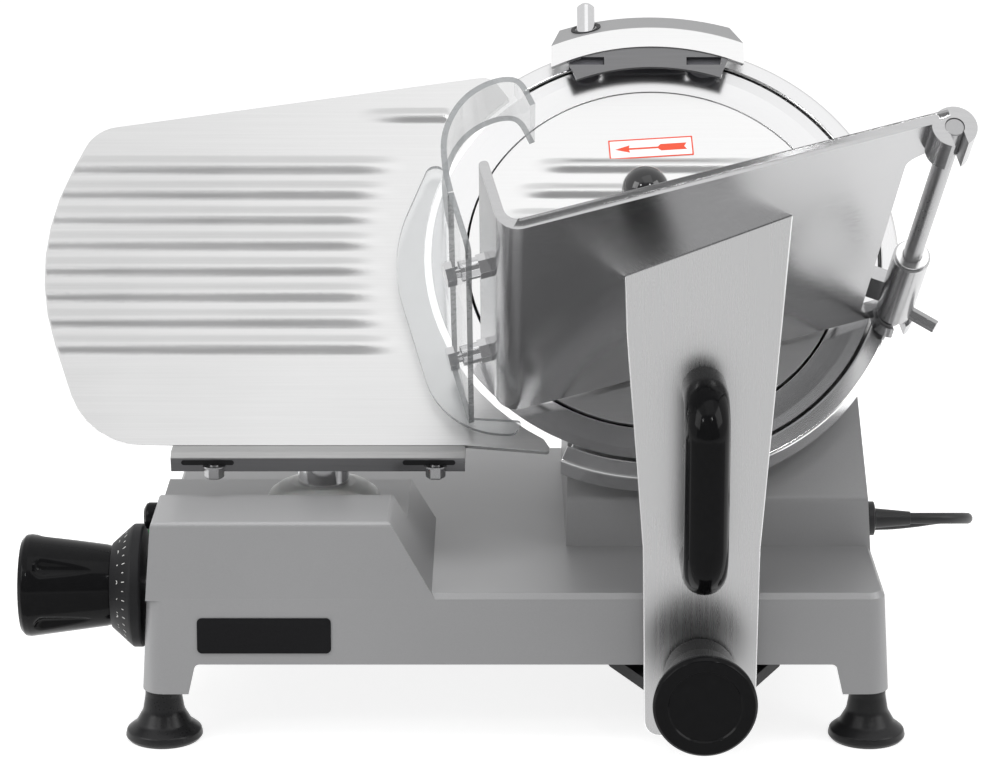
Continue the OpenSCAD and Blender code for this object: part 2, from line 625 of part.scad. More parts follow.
// Left end: switch box with two buttons, and a pilot lamp above the dial
button_depth = button_out + button_in;
module switch_box() color("#2b2c2e") difference() {
    extrude_x(box_x, bx0 + wall) polygon(box_outline(button_y[0] - 14, button_y[1] + 14, base_top - 33, base_top - 1, 5));
    body_solid(-run);
    for (y = button_y) along_x([box_x - cut, y, button_z]) cylinder(r = button_r + gap, h = button_depth + cut);
}
module push_button(y) along_x([box_x - button_out, y, button_z]) difference() {
    cylinder(r = button_r, h = button_depth - gap);
    translate([0, 0, -12.4]) sphere(r = 13);
}
module start_button() color("#3d8b4a") push_button(button_y[0]);
module stop_button() color("#a83232") push_button(button_y[1]);
module pilot_lamp() color("#2b2c2e") {
    difference() {
        along_x([bx0 - 3.5, lamp_y, lamp_z]) rotate_extrude() polygon([[0, 0], [lamp_r - 3, 0],
            [lamp_r - 0.6, 1.4], [lamp_r, 2.8], [lamp_r, 8], [0, 8]]);
        block_solid(-run, base_top - wall);
    }
    along_x([bx0 - 2, lamp_y, lamp_z]) cylinder(r = 4, h = 13);
}

// Dial: scooped knob, graduated skirt, shaft and a scroll that drives the gauge
dial_x = bx0 - dial_gap;
skirt_r = dial_d / 2;
knob_x = dial_x - dial_band - dial_cone;
module dial_skirt() color("#222224") along_x([knob_x, dial_y, dial_z]) difference() {
    rotate_extrude() polygon([[0, 0], [23, 0], [skirt_r - 0.5, dial_cone], [skirt_r, dial_cone + 1],
        [skirt_r, dial_cone + dial_band - 1], [skirt_r - 1, dial_cone + dial_band], [0, dial_cone + dial_band]]);
    translate([0, 0, -cut]) cylinder(r = dial_shaft_r + 0.02, h = dial_cone + dial_band + 2 * cut);
}
scoop_a = [16:72:304];
module dial_knob() color("#1c1c1d") along_x([knob_x - dial_knob_l, dial_y, dial_z]) difference() {
    rotate_extrude() polygon([[0, 1], [3, 1], [20, 0], [25.5, 1], [27.5, 3], [27.9, 6], [22.2, dial_knob_l - 3],
        [21.4, dial_knob_l], [0, dial_knob_l]]);
    translate([0, 0, 14]) cylinder(r = dial_shaft_r + 0.02, h = dial_knob_l);
    for (a = scoop_a) rotate(a) translate([30.5, 0, 9]) cylinder(r = 6.2, h = dial_knob_l);
}
module dial_shaft() color("#c9cbcd") along_x([knob_x - dial_knob_l + 14.2, dial_y, dial_z])
    cylinder(r = dial_shaft_r, h = scroll_x - knob_x + dial_knob_l - 14.2);
// Archimedean groove: its radius grows by scroll_pitch for each radian of turn
groove_half = follower_r + 0.4;
function groove_r(a) = scroll_r0 + scroll_pitch * a * PI / 180;
function groove_edge(side) = [for (a = [-20:7.5:dial_turn + 15]) let (r = groove_r(a))
    polar(r, a) + side * groove_half * (polar(r, a) - polar(scroll_pitch, a + 90)) / norm([r, scroll_pitch])];
function reverse(p) = [for (i = [len(p) - 1:-1:0]) p[i]];
module scroll_disc() color("#b5b7b9") translate([scroll_x, dial_y, dial_z]) rotate([90, 0, 90]) difference() {
    cylinder(r = scroll_r, h = scroll_w);
    translate([0, 0, scroll_w - scroll_groove]) linear_extrude(scroll_groove + cut)
        polygon(concat(groove_edge(1), reverse(groove_edge(-1))));
}

// Gauge: ribbed plate in the blade plane, its bar, post and the slide inside the block
plate_face = -0.5;
plate_round = 150;
plate_out = rounded([[gauge_edge_r * cos(241) + 3.5, gauge_low - 4, 2], [21 - blade_r, gauge_low, 8],
    [-gauge_l + 40, gauge_low, 45], [-gauge_l, 0, plate_round], [-gauge_l + 35, 80, 22],
    [33 - blade_r, blade_r - 10, 10], [gauge_edge_r * cos(129), gauge_edge_r * sin(129), 0]]);
plate_edge = arc(gauge_edge_r, 131, 241, 22);
// Left ends of the ribs follow the plate's outline, their right ends an arc round the blade
function rib_left(v) = -gauge_l + plate_round + 23 - sqrt(pow(plate_round, 2) - v * v);
function rib_right(v) = -sqrt(pow(gauge_edge_r + 34, 2) - v * v);
module gauge_plate() color("#d0d2d4") difference() {
    union() {
        in_blade() translate([0, 0, plate_face - gauge_t]) linear_extrude(gauge_t)
            polygon(concat(plate_out, plate_edge));
        in_blade() for (v = rib_rows) rib(rib_left(v), rib_right(v), v, plate_face);
        in_blade() rib(-136, -120, rib_rows[0] + 2 * rib_pitch, plate_face);
        translate([bar_x0 + 4, plane_y(gauge_low, plate_face - gauge_t / 2), bar_z + bar_h])
            cube([bar_l - 8, bar_y1 - 4 - plane_y(gauge_low, plate_face - gauge_t / 2), foot_flange]);
    }
    translate([bar_x0 - 100, bar_y0 - 20, bar_z]) cube([bar_l + 101, 90, bar_h]);
    for (x = bolt_x) translate([x, bolt_y, bar_z]) cylinder(r = bolt_r + 0.02, h = bar_h + 20);
}
module gauge_bar() color("#a8aaac") difference() {
    extrude_x(bar_x0, bar_x0 + bar_l)
        polygon(box_outline(bar_y0, bar_y1, bar_z, bar_z + bar_h, 1.5));
    for (x = bolt_x) {
        translate([x - 15, bar_y0 - cut, bar_z - cut]) cube([30, 34, bolt_pocket + cut]);
        translate([x, bolt_y, bar_z]) cylinder(r = bolt_r + 0.02, h = bar_h + cut);
    }
}
module gauge_bolts() color("#cfd1d3") for (x = bolt_x) translate([x, bolt_y, 0]) {
    translate([0, 0, bar_z + bolt_pocket - 7.5]) cylinder(r = 7.4, h = 7.5, $fn = 6);
    translate([0, 0, bar_z]) cylinder(r = bolt_r, h = bar_h);
}
module gauge_post() color("#c6c8ca") translate([post_x, post_y, slide_z1])
    cylinder(r = post_r, h = bar_z - slide_z1);
module post_collar() color("#e9e9e6") translate([post_x, post_y, ledge_z + gap]) rotate_extrude()
    polygon(concat([[post_r + 0.02, 0], [post_r + 17, 0], [post_r + 17, 2]],
        [for (i = [0:6]) let (a = 15 * i) [post_r + 3 + 13.5 * cos(a), 2.6 + 8.4 * sin(a)]], [[post_r + 0.02, 11]]));
pin_arm_x = scroll_x + scroll_w + 7;
module gauge_slide() color("#9b9da0") difference() {
    union() {
        translate([guide_x - 14, post_y - 20, slide_z0])
            cube([post_x + post_r - guide_x + 14, 38, slide_z1 - slide_z0]);
        translate([pin_arm_x, dial_y + scroll_r0 - 6, dial_z - 5])
            cube([guide_x - 14 - pin_arm_x + fuse, post_y - 20 - dial_y - scroll_r0 + 12, 10]);
        along_x([scroll_x + scroll_w - scroll_groove + 0.6, dial_y + scroll_r0, dial_z])
            cylinder(r = follower_r, h = 7 + scroll_groove);
    }
    along_y([guide_x, post_y - 40, guide_z]) cylinder(r = guide_r + run, h = 80);
}

// Carriage: tray extrusion with a fence and two rod clips, arm, handle and slide
module tray_outline() polygon(rounded([[-cut, tray_near, 0], [rod_tau, tray_near, 0], [rod_tau, tray_near + 9, 0],
    [206, tray_near + 9, 4], [214.5, tray_far - 34, 9], [rod_tau + 9, tray_far - 26, 0],
    [rod_tau + 11, tray_far, 0], [-cut, tray_far, 0]]));
module tray_profile() polygon(rounded([[0, 0, 12], [rod_tau + 40, 0, 0], [rod_tau + 40, tray_t, 0],
    [fence_t, tray_t, 7], [fence_t, fence_h, 2], [0, fence_h, 2]]));
clip_top = [tray_far - 24, 24];
clip_low = [tray_near, 10];
module food_tray() color("#b7b9bb") difference() {
    union() {
        on_tray() intersection() {
            translate([0, 0, tray_near]) linear_extrude(tray_depth) tray_profile();
            translate([0, fence_h + cut, 0]) rotate([90, 0, 0]) linear_extrude(fence_h + 2 * cut) tray_outline();
        }
        on_rod() for (c = [clip_top, clip_low]) translate([0, 0, c[0]]) cylinder(r = clip_r, h = c[1]);
    }
    on_rod() translate([0, 0, -20]) cylinder(r = prod_r + 0.02, h = tray_far + 60);
    on_rod() translate([-3.5, -clip_r - cut, -20]) cube([7, clip_r + cut, tray_far + 60]);
    for (w = guard_bolt_w) on_tray() along_x([-cut, guard_bolt_h, w]) cylinder(r = guard_bolt_r + 0.02, h = 12);
}
module pusher_rod() color("#d0d2d4") on_rod() translate([0, 0, tray_near + 0.5])
    cylinder(r = prod_r, h = tray_depth - 1);
arm_outline = rounded([[arm_x - 29, 14, 8], [arm_x + 30, 14, 8], [arm_x + 31, 119, 60], [arm_x + 39.5, 236, 90],
    [arm_x + 46, 320, 0], [arm_x - 44, 320, 0], [arm_x - 40.5, 236, 90], [arm_x - 31, 119, 60]]);
module carriage_arm() color("#bfc1c3") difference() {
    extrude_y(arm_front, arm_back) polygon(arm_outline);
    on_tray() translate([-100, 0, -50]) cube([500, 300, 400]);
    toward_front([arm_x, arm_back + cut, clamp_z]) cylinder(r = stud_r + run, h = arm_t + 2 * cut);
}
handle_reach = 39;
handle_bend = 18;
handle_z = [113.5, 206.5];
module handle_half(z, turn) {
    toward_front([arm_x, arm_front, z]) cylinder(r = handle_d / 2, h = handle_reach - handle_bend);
    translate([arm_x, arm_front - handle_reach + handle_bend, z + turn * handle_bend])
        rotate([0, turn * 90, 180]) rotate_extrude(angle = 90) translate([handle_bend, 0]) circle(r = handle_d / 2);
}
module arm_handle() color("#151516") {
    handle_half(handle_z[0], 1);
    handle_half(handle_z[1], -1);
    translate([arm_x, arm_front - handle_reach, handle_z[0] + handle_bend])
        cylinder(r = handle_d / 2, h = handle_z[1] - handle_z[0] - 2 * handle_bend);
}
foot_outline = rounded([[arm_x - 27, arm_back, 0], [arm_x + 27, arm_back, 0], [arm_x + foot_half, by0 + 34, 12],
    [arm_x + foot_half, rail_y + 14, 8], [arm_x - foot_half, rail_y + 14, 8], [arm_x - foot_half, by0 + 34, 12]]);
module carriage_foot() color("#2c2d2f") difference() {
    union() {
        translate([0, 0, foot_z0]) linear_extrude(foot_z1 - foot_z0) polygon(foot_outline);
        translate([arm_x - 27, arm_back, foot_z0]) cube([54, tab_t, 44]);
        along_x([arm_x - foot_half, rod_y, rod_z]) cylinder(r = rod_r + bush_t + housing_t, h = 2 * foot_half);
        translate([arm_x - foot_half, rod_y - 8, foot_z1 - fuse]) cube([2 * foot_half, 16, rod_z - foot_z1]);
    }
    along_x([arm_x - foot_half - cut, rod_y, rod_z]) cylinder(r = rod_r + bush_t + 0.02, h = 2 * (foot_half + cut));
    toward_front([arm_x, arm_back + tab_t + cut, clamp_z]) cylinder(r = stud_r + run, h = tab_t + 2 * cut);
}
module slide_bushes() color("#c9a55c") for (x = [arm_x - foot_half, arm_x + foot_half - 24])
    along_x([x, rod_y, rod_z]) tube_ring(rod_r + bush_t, rod_r + run, 24);
module rail_shoe() color("#e3e3df") difference() {
    translate([arm_x - 14, rail_y - 10, foot_z1]) cube([28, 20, rod_z + 3 - foot_z1]);
    translate([arm_x - 20, rail_y - rail_r - gap, rod_z - rail_r - gap]) cube([40, 2 * (rail_r + gap), 40]);
}
module clamp_knob() color("#151516") toward_front([arm_x, arm_front - 0.5, clamp_z]) {
    rotate_extrude() polygon([[0, 0], [16.5, 0], [17.5, 4], [18.5, 20], [22, 38], [25.5, 46], [clamp_d / 2, 50],
        [clamp_d / 2, clamp_l - 2.5], [clamp_d / 2 - 2, clamp_l], [19, clamp_l], [18, clamp_l - 1], [0, clamp_l - 1]]);
    translate([0, 0, -arm_t - tab_t]) cylinder(r = stud_r, h = arm_t + tab_t + 2);
}

// Clear guard: a panel beside the fence, a curl over its near end and a crescent over the blade edge
curl_path = [[-17.5, 26], [-16.5, 42], [-13, 58], [-6, 70], [4, 79], [16, 84], [27, 84], [33, 79], [35.5, 66]];
guard_top = 30;
crescent = rounded([[-74, -106, 2], [-78, -114, 6], [-118, -113, 45], [-149, -6, 90], [-122, 64, 6], [-116, 44, 4],
    [-113, -50, 20], [-102.9, -104.3, 2]]);
guard_w = [6, 9];
module clear_guard() color([0.85, 0.9, 0.92, 0.45]) difference() {
    union() {
        on_tray() translate([-guard_off - guard_t, 0, 0]) rotate([90, 0, 90]) linear_extrude(guard_t)
            polygon(rounded([[-3, guard_w[0] + 1, 0], [guard_top, guard_w[0] + 1, 0], [guard_top, tray_far, 0],
                [-3, tray_far, 6]]));
        on_tray() translate([0, 0, tray_far - 40]) linear_extrude(40) polygon(ribbon(curl_path, guard_t));
        in_blade() translate([0, 0, guard_w[0]]) linear_extrude(guard_w[1] - guard_w[0]) polygon(crescent);
    }
    for (w = guard_bolt_w) on_tray() along_x([-guard_off - guard_t - cut, guard_bolt_h, w])
        cylinder(r = guard_bolt_r + 0.02, h = guard_t + 2 * cut);
}
module guard_bolts() color("#d4d6d8") for (w = guard_bolt_w)
    on_tray() along_x([-guard_off - guard_t, guard_bolt_h, w]) {
        translate([0, 0, -5]) cylinder(r = 6.5, h = 5, $fn = 6);
        translate([0, 0, -fuse]) cylinder(r = guard_bolt_r, h = guard_off + guard_t + fence_t + fuse);
        translate([0, 0, guard_t]) cylinder(r = 5.5, h = guard_off - 6);
        translate([0, 0, guard_off + guard_t - 6.5]) cylinder(r = 6.5, h = 6.5, $fn = 6);
    }

// Pusher: a bush slides on the rod, the sleeve swings on the bush
module pusher_bush() color("#e3e3df") on_rod() translate([0, 0, sleeve_low]) difference() {
    union() {
        cylinder(r = bush_r, h = sleeve_l);
        for (w = [0, sleeve_l - collar_w]) translate([0, 0, w]) cylinder(r = bush_r + 2, h = collar_w);
    }
    translate([0, 0, -cut]) cylinder(r = prod_r + run, h = sleeve_l + 2 * cut);
}
push_arm = [[-6, 7], [-20, 17], [-40, 24], [-166, 44]];
push_w = sleeve_low + 8;
module pusher_sleeve() color("#b0b2b4") on_rod() difference() {
    union() {
        translate([0, 0, sleeve_low + collar_w + gap]) cylinder(r = sleeve_r, h = sleeve_l - 2 * (collar_w + gap));
        translate([0, 0, push_w]) linear_extrude(22) polygon(ribbon(push_arm, 8));
        translate([0, 0, sleeve_low + 7]) rotate([0, 90, -48]) cylinder(r = 3.6, h = sleeve_r + 15, $fn = 6);
    }
    cylinder(r = bush_r + run, h = tray_far);
}
plate_box = [-166, -76, 14, 97];
module pusher_plate() color("#c6c8ca") on_rod() translate([0, 0, push_w - 4]) {
    linear_extrude(4) polygon(box_outline(plate_box[0], plate_box[1], plate_box[2], plate_box[3], 10));
    for (i = [0:4], j = [0:3]) translate([plate_box[0] + 13 + 16 * i, plate_box[2] + 14 + 18 * j, -5])
        cylinder(r1 = 0.6, r2 = 2.6, h = 5 + fuse, $fn = 16);
}
module pusher_knob() color("#151516") on_rod() translate([-121, 86, push_w]) rotate_extrude()
    polygon(concat([[0, 0], [6, 0], [5, 18]], [for (i = [0:10]) let (a = -60 + 15 * i) [13 * cos(a), 33 + 13 * sin(a)]],
        [[0, 46]]));

// Mains lead
module cord_gland() color("#1c1c1d") difference() {
    along_x([bx1 - 6, gland_y, gland_z]) rotate_extrude() polygon([[0, 0], [9.5, 0], [9.5, 8.5], [8, 9],
        [cord_r + 2.4, 9.5], [cord_r + 0.6, gland_end - bx1 + 6], [0, gland_end - bx1 + 6]]);
    tower_solid(0, base_top - wall);
}
module power_cord() color("#1c1c1d") tube(cord_route, cord_r, 8);
coil_mid = coil_turns * 180;
function ramp(s) = let (c = min(max(s, 0), 1)) c * c * (3 - 2 * c);
function coil_point(a) =
    let (r = coil_out - coil_pitch * min(a, 2 * coil_mid - a) / 360,
         z = coil_z + coil_layer * ramp((a - coil_mid + 90) / 180)
             + (plug_z - coil_z - coil_layer) * ramp((a - 2 * coil_mid + 200) / 200))
    [coil_x + r * cos(a), coil_y + r * sin(a), z];
coil_path = concat([[coil_x + coil_out, coil_y - cord_d, coil_z]], [for (a = [0:15:2 * coil_mid]) coil_point(a)],
    [[coil_x - cord_d, coil_y + coil_out, plug_z]]);
coil_gap = min([for (i = [0:len(coil_path) - 1]) for (j = [i + 12:1:len(coil_path) - 1])
    norm(coil_path[i] - coil_path[j])]) - cord_d;
echo(coil_gap = coil_gap);
module cord_coil() color("#1c1c1d") tube(coil_path, cord_r, 6);
module cord_tie() color("#3a3a3c") translate([coil_x, coil_y, 0]) rotate(225) translate([0, 5, 0]) rotate([90, 0, 0])
    linear_extrude(10) difference() {
        polygon(box_outline(coil_out - 3 * coil_pitch - 2, coil_out + 4.5, 0, coil_z + coil_layer + cord_r + 2, 2.5));
        polygon(box_outline(coil_out - 3 * coil_pitch - 1, coil_out + 3.6, 0.8, coil_z + coil_layer + cord_r + 1.1, 1.8));
    }
module mains_plug() color("#1c1c1d") translate([coil_x - cord_d, coil_y + coil_out, plug_z]) rotate([0, -90, 0]) {
    rotate_extrude() polygon([[0, 0], [cord_r + 0.8, 0], [7, 28], [11, 32], [17, 36], [17.5, 38], [17.5, 60],
        [16.5, 62], [0, 62]]);
    for (y = [-9.5, 9.5]) translate([0, y, 61]) cylinder(r = 2.4, h = 20);
}

base_casting();
bottom_plate();
feet();
slide_rod();
guide_rail();
gauge_guide_rod();
motor_body();
motor_bracket();
bearing_housing();
shaft_bearings();
ring_guard();
blade_cover();
cover_tie_rod();
cover_knob();
drive_belt();
sharpener_hood();
sharpener_shield();
switch_box();
pilot_lamp();
cord_gland();
power_cord();
cord_coil();
cord_tie();
mains_plug();
dial_knob();
dial_skirt();
dial_shaft();
scroll_disc();
gauge_plate();
gauge_bar();
gauge_bolts();
gauge_post();
post_collar();
gauge_slide();
blade();
blade_shaft();
blade_pulley();
blade_screws();
motor_shaft();
motor_pulley();
motor_fan();
food_tray();
carriage_arm();
arm_handle();
carriage_foot();
slide_bushes();
rail_shoe();
clear_guard();
guard_bolts();
pusher_rod();
clamp_knob();
pusher_bush();
pusher_sleeve();
pusher_plate();
pusher_knob();
sharpener_pin();
sharpening_stones();
start_button();
stop_button();
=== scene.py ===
# %% [markdown]
# # Electric food slicer
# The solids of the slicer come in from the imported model, already in place and in metres.
# This lesson gives them their finishes, eases their edges, adds the printed marks and winds up the lead.
# New pieces are drawn in millimetres, in the same frames as the solids.

# %% Load the solids
import json
import math
from functools import partial

import bmesh
import bpy
from mathutils import Matrix, Vector

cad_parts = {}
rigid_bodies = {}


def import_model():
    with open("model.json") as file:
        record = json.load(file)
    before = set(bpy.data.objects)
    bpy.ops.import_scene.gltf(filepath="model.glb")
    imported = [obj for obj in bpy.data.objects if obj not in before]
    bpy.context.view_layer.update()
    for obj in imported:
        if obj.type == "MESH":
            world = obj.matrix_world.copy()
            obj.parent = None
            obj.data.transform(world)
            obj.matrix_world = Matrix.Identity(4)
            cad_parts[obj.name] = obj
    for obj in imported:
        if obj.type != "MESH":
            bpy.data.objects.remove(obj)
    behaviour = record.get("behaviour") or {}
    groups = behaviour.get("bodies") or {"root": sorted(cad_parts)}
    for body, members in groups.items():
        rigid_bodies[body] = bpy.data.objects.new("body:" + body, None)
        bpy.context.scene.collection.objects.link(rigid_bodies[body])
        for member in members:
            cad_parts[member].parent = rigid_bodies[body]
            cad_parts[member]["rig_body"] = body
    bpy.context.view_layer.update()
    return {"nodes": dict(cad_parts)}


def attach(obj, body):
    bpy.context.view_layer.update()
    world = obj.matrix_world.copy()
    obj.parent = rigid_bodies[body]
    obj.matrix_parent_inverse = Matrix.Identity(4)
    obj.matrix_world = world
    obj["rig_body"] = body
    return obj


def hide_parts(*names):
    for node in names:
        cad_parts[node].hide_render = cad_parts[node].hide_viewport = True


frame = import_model()
scene = bpy.context.scene
MM = 0.001

# %% [markdown]
# ## Camera
# A product picture is taken from far off with a long lens, so that the upright edges stay nearly parallel.
# The camera stands about two metres in front, a little above, and looks down by fifteen degrees.

# %% Camera
camera_data = bpy.data.cameras.new("product_camera")
camera_data.sensor_fit = "HORIZONTAL"
camera_data.sensor_width = 36
camera_data.lens = 127.4
camera = bpy.data.objects.new("product_camera", camera_data)
camera.location = (0.0099, -1.8884, 0.6870)
camera.rotation_euler = (math.radians(75), 0, 0)
scene.collection.objects.link(camera)
scene.camera = camera
scene.view_settings.view_transform = "Standard"
print("camera lens", camera_data.lens, "mm")

# %% [markdown]
# ## Node trees
# Materials, the world and the repeats are all node trees. One helper adds a node and fills its inputs with links or
# constants.


# %% Node helpers
def fill(tree, node, *terms, **sockets):
    """Terms fill a node's inputs in order, the others go by name, with _ for each space."""
    for key, value in [*enumerate(terms), *sockets.items()]:
        socket = node.inputs[key if isinstance(key, int) else key.replace("_", " ")]
        if isinstance(value, bpy.types.Node):
            value = value.outputs[0]
        if isinstance(value, bpy.types.NodeSocket):
            tree.links.new(value, socket)
        else:
            socket.default_value = value
    return node


def add(tree, kind, *terms, setup=None, **sockets):
    """A new node; a kind without a prefix is one of the Geometry Nodes."""
    node = tree.nodes.new(kind if "Node" in kind else "GeometryNode" + kind)
    for key, value in (setup or {}).items():
        setattr(node, key, value)
    return fill(tree, node, *terms, **sockets)


def sums(tree, operation, *terms):
    """The result of one maths node."""
    return add(tree, "ShaderNodeMath", *terms, setup={"operation": operation}).outputs[0]


def new_material(name):
    material = bpy.data.materials.new(name)
    material.use_nodes = True
    return material, material.node_tree, material.node_tree.nodes["Principled BSDF"]


# %% [markdown]
# ## Studio
# Bright metal is a mirror, so the room matters as much as the lamps.
# The floor and the world are white and soft lamps hang at the sides and above. A dark card behind the camera gives
# the ribs of the plates something dark to reflect, and a grey card on the floor keeps the upright faces from clipping.
# Two small lamps put the glints on the black pieces.


# %% Floor, world and lamps
def stage_plane(name, corners, material):
    mesh = bpy.data.meshes.new(name)
    mesh.from_pydata(corners, [], [(0, 1, 2, 3)])
    plane = bpy.data.objects.new(name, mesh)
    scene.collection.objects.link(plane)
    mesh.materials.append(material)
    return plane


def background_rays(tree):
    """One for the rays that show a background: those of the camera and of mirrors."""
    rays = tree.nodes.new("ShaderNodeLightPath").outputs
    return sums(tree, "MAXIMUM", rays["Is Camera Ray"], rays["Is Glossy Ray"])


def glow_material(name, colour):
    material, tree, shader = new_material(name)
    tree.nodes.remove(shader)
    glow = add(tree, "ShaderNodeEmission", Color=(*colour, 1), Strength=1)
    fill(tree, tree.nodes["Material Output"], Surface=glow)
    return material


def floor_material(grey=0.50, glow_share=0.82):
    """White card: partly glowing to every ray that shows a background, so only a soft shadow stays."""
    material, tree, paper = new_material("studio_floor")
    fill(tree, paper, Base_Color=(grey, grey, grey, 1), Roughness=0.9, Specular_IOR_Level=0.1)
    glow = add(tree, "ShaderNodeEmission", Strength=sums(tree, "MULTIPLY", background_rays(tree), glow_share))
    both = add(tree, "ShaderNodeAddShader", paper, glow)
    fill(tree, tree.nodes["Material Output"], Surface=both)
    return material


stage_plane("floor", [(-9, -9, 0), (9, -9, 0), (9, 9, 0), (-9, 9, 0)], floor_material())
CARD_CORNERS = [(-4, -2.6, 0.2), (4, -2.6, 0.2), (4, -2.6, 3.2), (-4, -2.6, 3.2)]
MAT_CORNERS = [(-1.3, -2.4, 0.002), (1.3, -2.4, 0.002), (1.3, -0.13, 0.002), (-1.3, -0.13, 0.002)]
dark_card = stage_plane("dark_card", CARD_CORNERS, glow_material("card_black", (0.24, 0.24, 0.242)))
grey_card = stage_plane("grey_card", MAT_CORNERS, glow_material("card_grey", (0.70, 0.70, 0.705)))
for plane in (dark_card, grey_card):
    plane.visible_camera = plane.visible_diffuse = plane.visible_shadow = False

world = bpy.data.worlds.new("studio")
scene.world = world
world.use_nodes = True
sky = world.node_tree
soft = fill(sky, sky.nodes["Background"], Color=(1, 1, 1, 1), Strength=0.33)
white = add(sky, "ShaderNodeBackground", Strength=1)
choose = add(sky, "ShaderNodeMixShader", background_rays(sky), soft, white)
fill(sky, sky.nodes["World Output"], Surface=choose)

AIM = Vector((0, 0, 0.17))
LAMPS = [
    ("lamp_left", (-1.9, -1.2, 1.5), 1.3, 14, True),
    ("lamp_right", (1.9, -0.9, 1.4), 1.2, 11, True),
    ("lamp_top", (-0.3, -0.4, 2.2), 1.6, 36, False),
    ("lamp_front", (0, -2.2, 1.5), 1.6, 2, False),
    ("lamp_strip", (0.22, -0.52, 1.42), 0.9, 1.0, True),
    ("lamp_glint_left", (-1.0, -1.9, 1.75), 0.22, 3, True),
    ("lamp_glint_right", (0.9, -1.9, 1.85), 0.22, 3, True),
]
for name, place, size, power, mirrored in LAMPS:
    lamp_data = bpy.data.lights.new(name, "AREA")
    lamp_data.size = size
    lamp_data.energy = power
    lamp = bpy.data.objects.new(name, lamp_data)
    lamp.location = place
    lamp.rotation_euler = (AIM - Vector(place)).to_track_quat("-Z", "Y").to_euler()
    lamp.visible_glossy = mirrored
    scene.collection.objects.link(lamp)
print("studio:", len(LAMPS), "lamps, floor, two cards")

# %% [markdown]
# ## Finishes
# Every finish is one shader with two layers of noise: a fine one for the tooth of the surface and a broad one for
# the cloudiness that handling leaves. Stretching the fine noise along one axis turns it into brushing, and taking it
# round an axis turns it into the rings that a lathe leaves. The noise drives colour, roughness and a small bump.


# %% Finish helper
def noise_value(tree, coords, scale, detail):
    return add(tree, "ShaderNodeTexNoise", Vector=coords, Scale=scale, Detail=detail).outputs["Fac"]


def ring_coords(tree, coords):
    """Distance from the z axis, so that noise runs in turned rings."""
    at = add(tree, "ShaderNodeSeparateXYZ", coords).outputs
    flat = add(tree, "ShaderNodeCombineXYZ", at["X"], at["Y"])
    reach = add(tree, "ShaderNodeVectorMath", flat, setup={"operation": "LENGTH"}).outputs["Value"]
    return add(tree, "ShaderNodeCombineXYZ", reach, at["Z"])


def finish(name, colour, rough, scale=600, stretch=(1, 1, 1), tint=0.06, sheen=0.06, bump=0.05, depth=0.2,
           broad=9, turned_about=None, **sockets):
    """A procedural finish; turned_about is the matrix of the axis that its tool marks run round."""
    material, tree, shader = new_material(name)
    fill(tree, shader, **sockets)
    place = coords = tree.nodes.new("ShaderNodeTexCoord").outputs["Object"]
    if turned_about is not None:
        seat = add(tree, "ShaderNodeMapping", setup={"vector_type": "TEXTURE"}, Vector=coords,
                   Location=turned_about.to_translation(), Rotation=turned_about.to_euler())
        coords = ring_coords(tree, seat)
    brush = add(tree, "ShaderNodeMapping", Vector=coords, Scale=stretch)
    fine = noise_value(tree, brush, scale, 5)
    both = sums(tree, "ADD", fine, noise_value(tree, place, broad, 3))
    half = add(tree, "ShaderNodeMapRange", Value=both, From_Min=0.6, From_Max=1.4)
    colours = add(tree, "ShaderNodeMix", setup={"data_type": "RGBA"}, Factor=half,
                  A=(*[max(0, c * (1 - tint)) for c in colour], 1), B=(*[min(1, c * (1 + tint)) for c in colour], 1))
    gloss = add(tree, "ShaderNodeMapRange", Value=half, To_Min=max(0.02, rough - sheen), To_Max=min(1, rough + sheen))
    tooth = add(tree, "ShaderNodeBump", Strength=bump, Distance=depth * MM, Height=fine)
    fill(tree, shader, Base_Color=colours.outputs["Result"], Roughness=gloss, Normal=tooth)
    return material


# %% [markdown]
# ## Frames of the slicer
# The blade leans back by forty degrees, and the cover, the gauge plate and the tray all sit square to it.
# One matrix for the blade plane, and others that hang on it, let each piece be drawn flat and then put in place.


# %% Frames
def moved(x, y, z):
    return Matrix.Translation((x * MM, y * MM, z * MM))


def turn(degrees, axis):
    return Matrix.Rotation(math.radians(degrees), 4, axis)


def in_blade(point):
    """A point's place in the frame of the blade, in millimetres."""
    return BLADE.inverted() @ point / MM


def from_blade(u, v, w):
    return BLADE @ (Vector((u, v, w)) * MM)


BLADE = moved(96.4, 43.5, 241.7) @ turn(50, "X")
TRAY = BLADE @ moved(-86, -99.5, 0) @ turn(16, "Z")
ROD = TRAY @ moved(223.5, -4, 0) @ turn(3, "Y")
DIAL = moved(-200.3, -58.5, 81) @ turn(90, "Y")
POST = moved(-87.8, -8.5, 0)
CLAMP = moved(116, -113, 50.5) @ turn(90, "X")
print("blade axis points to", [round(x, 3) for x in BLADE.to_3x3() @ Vector((0, 0, 1))])

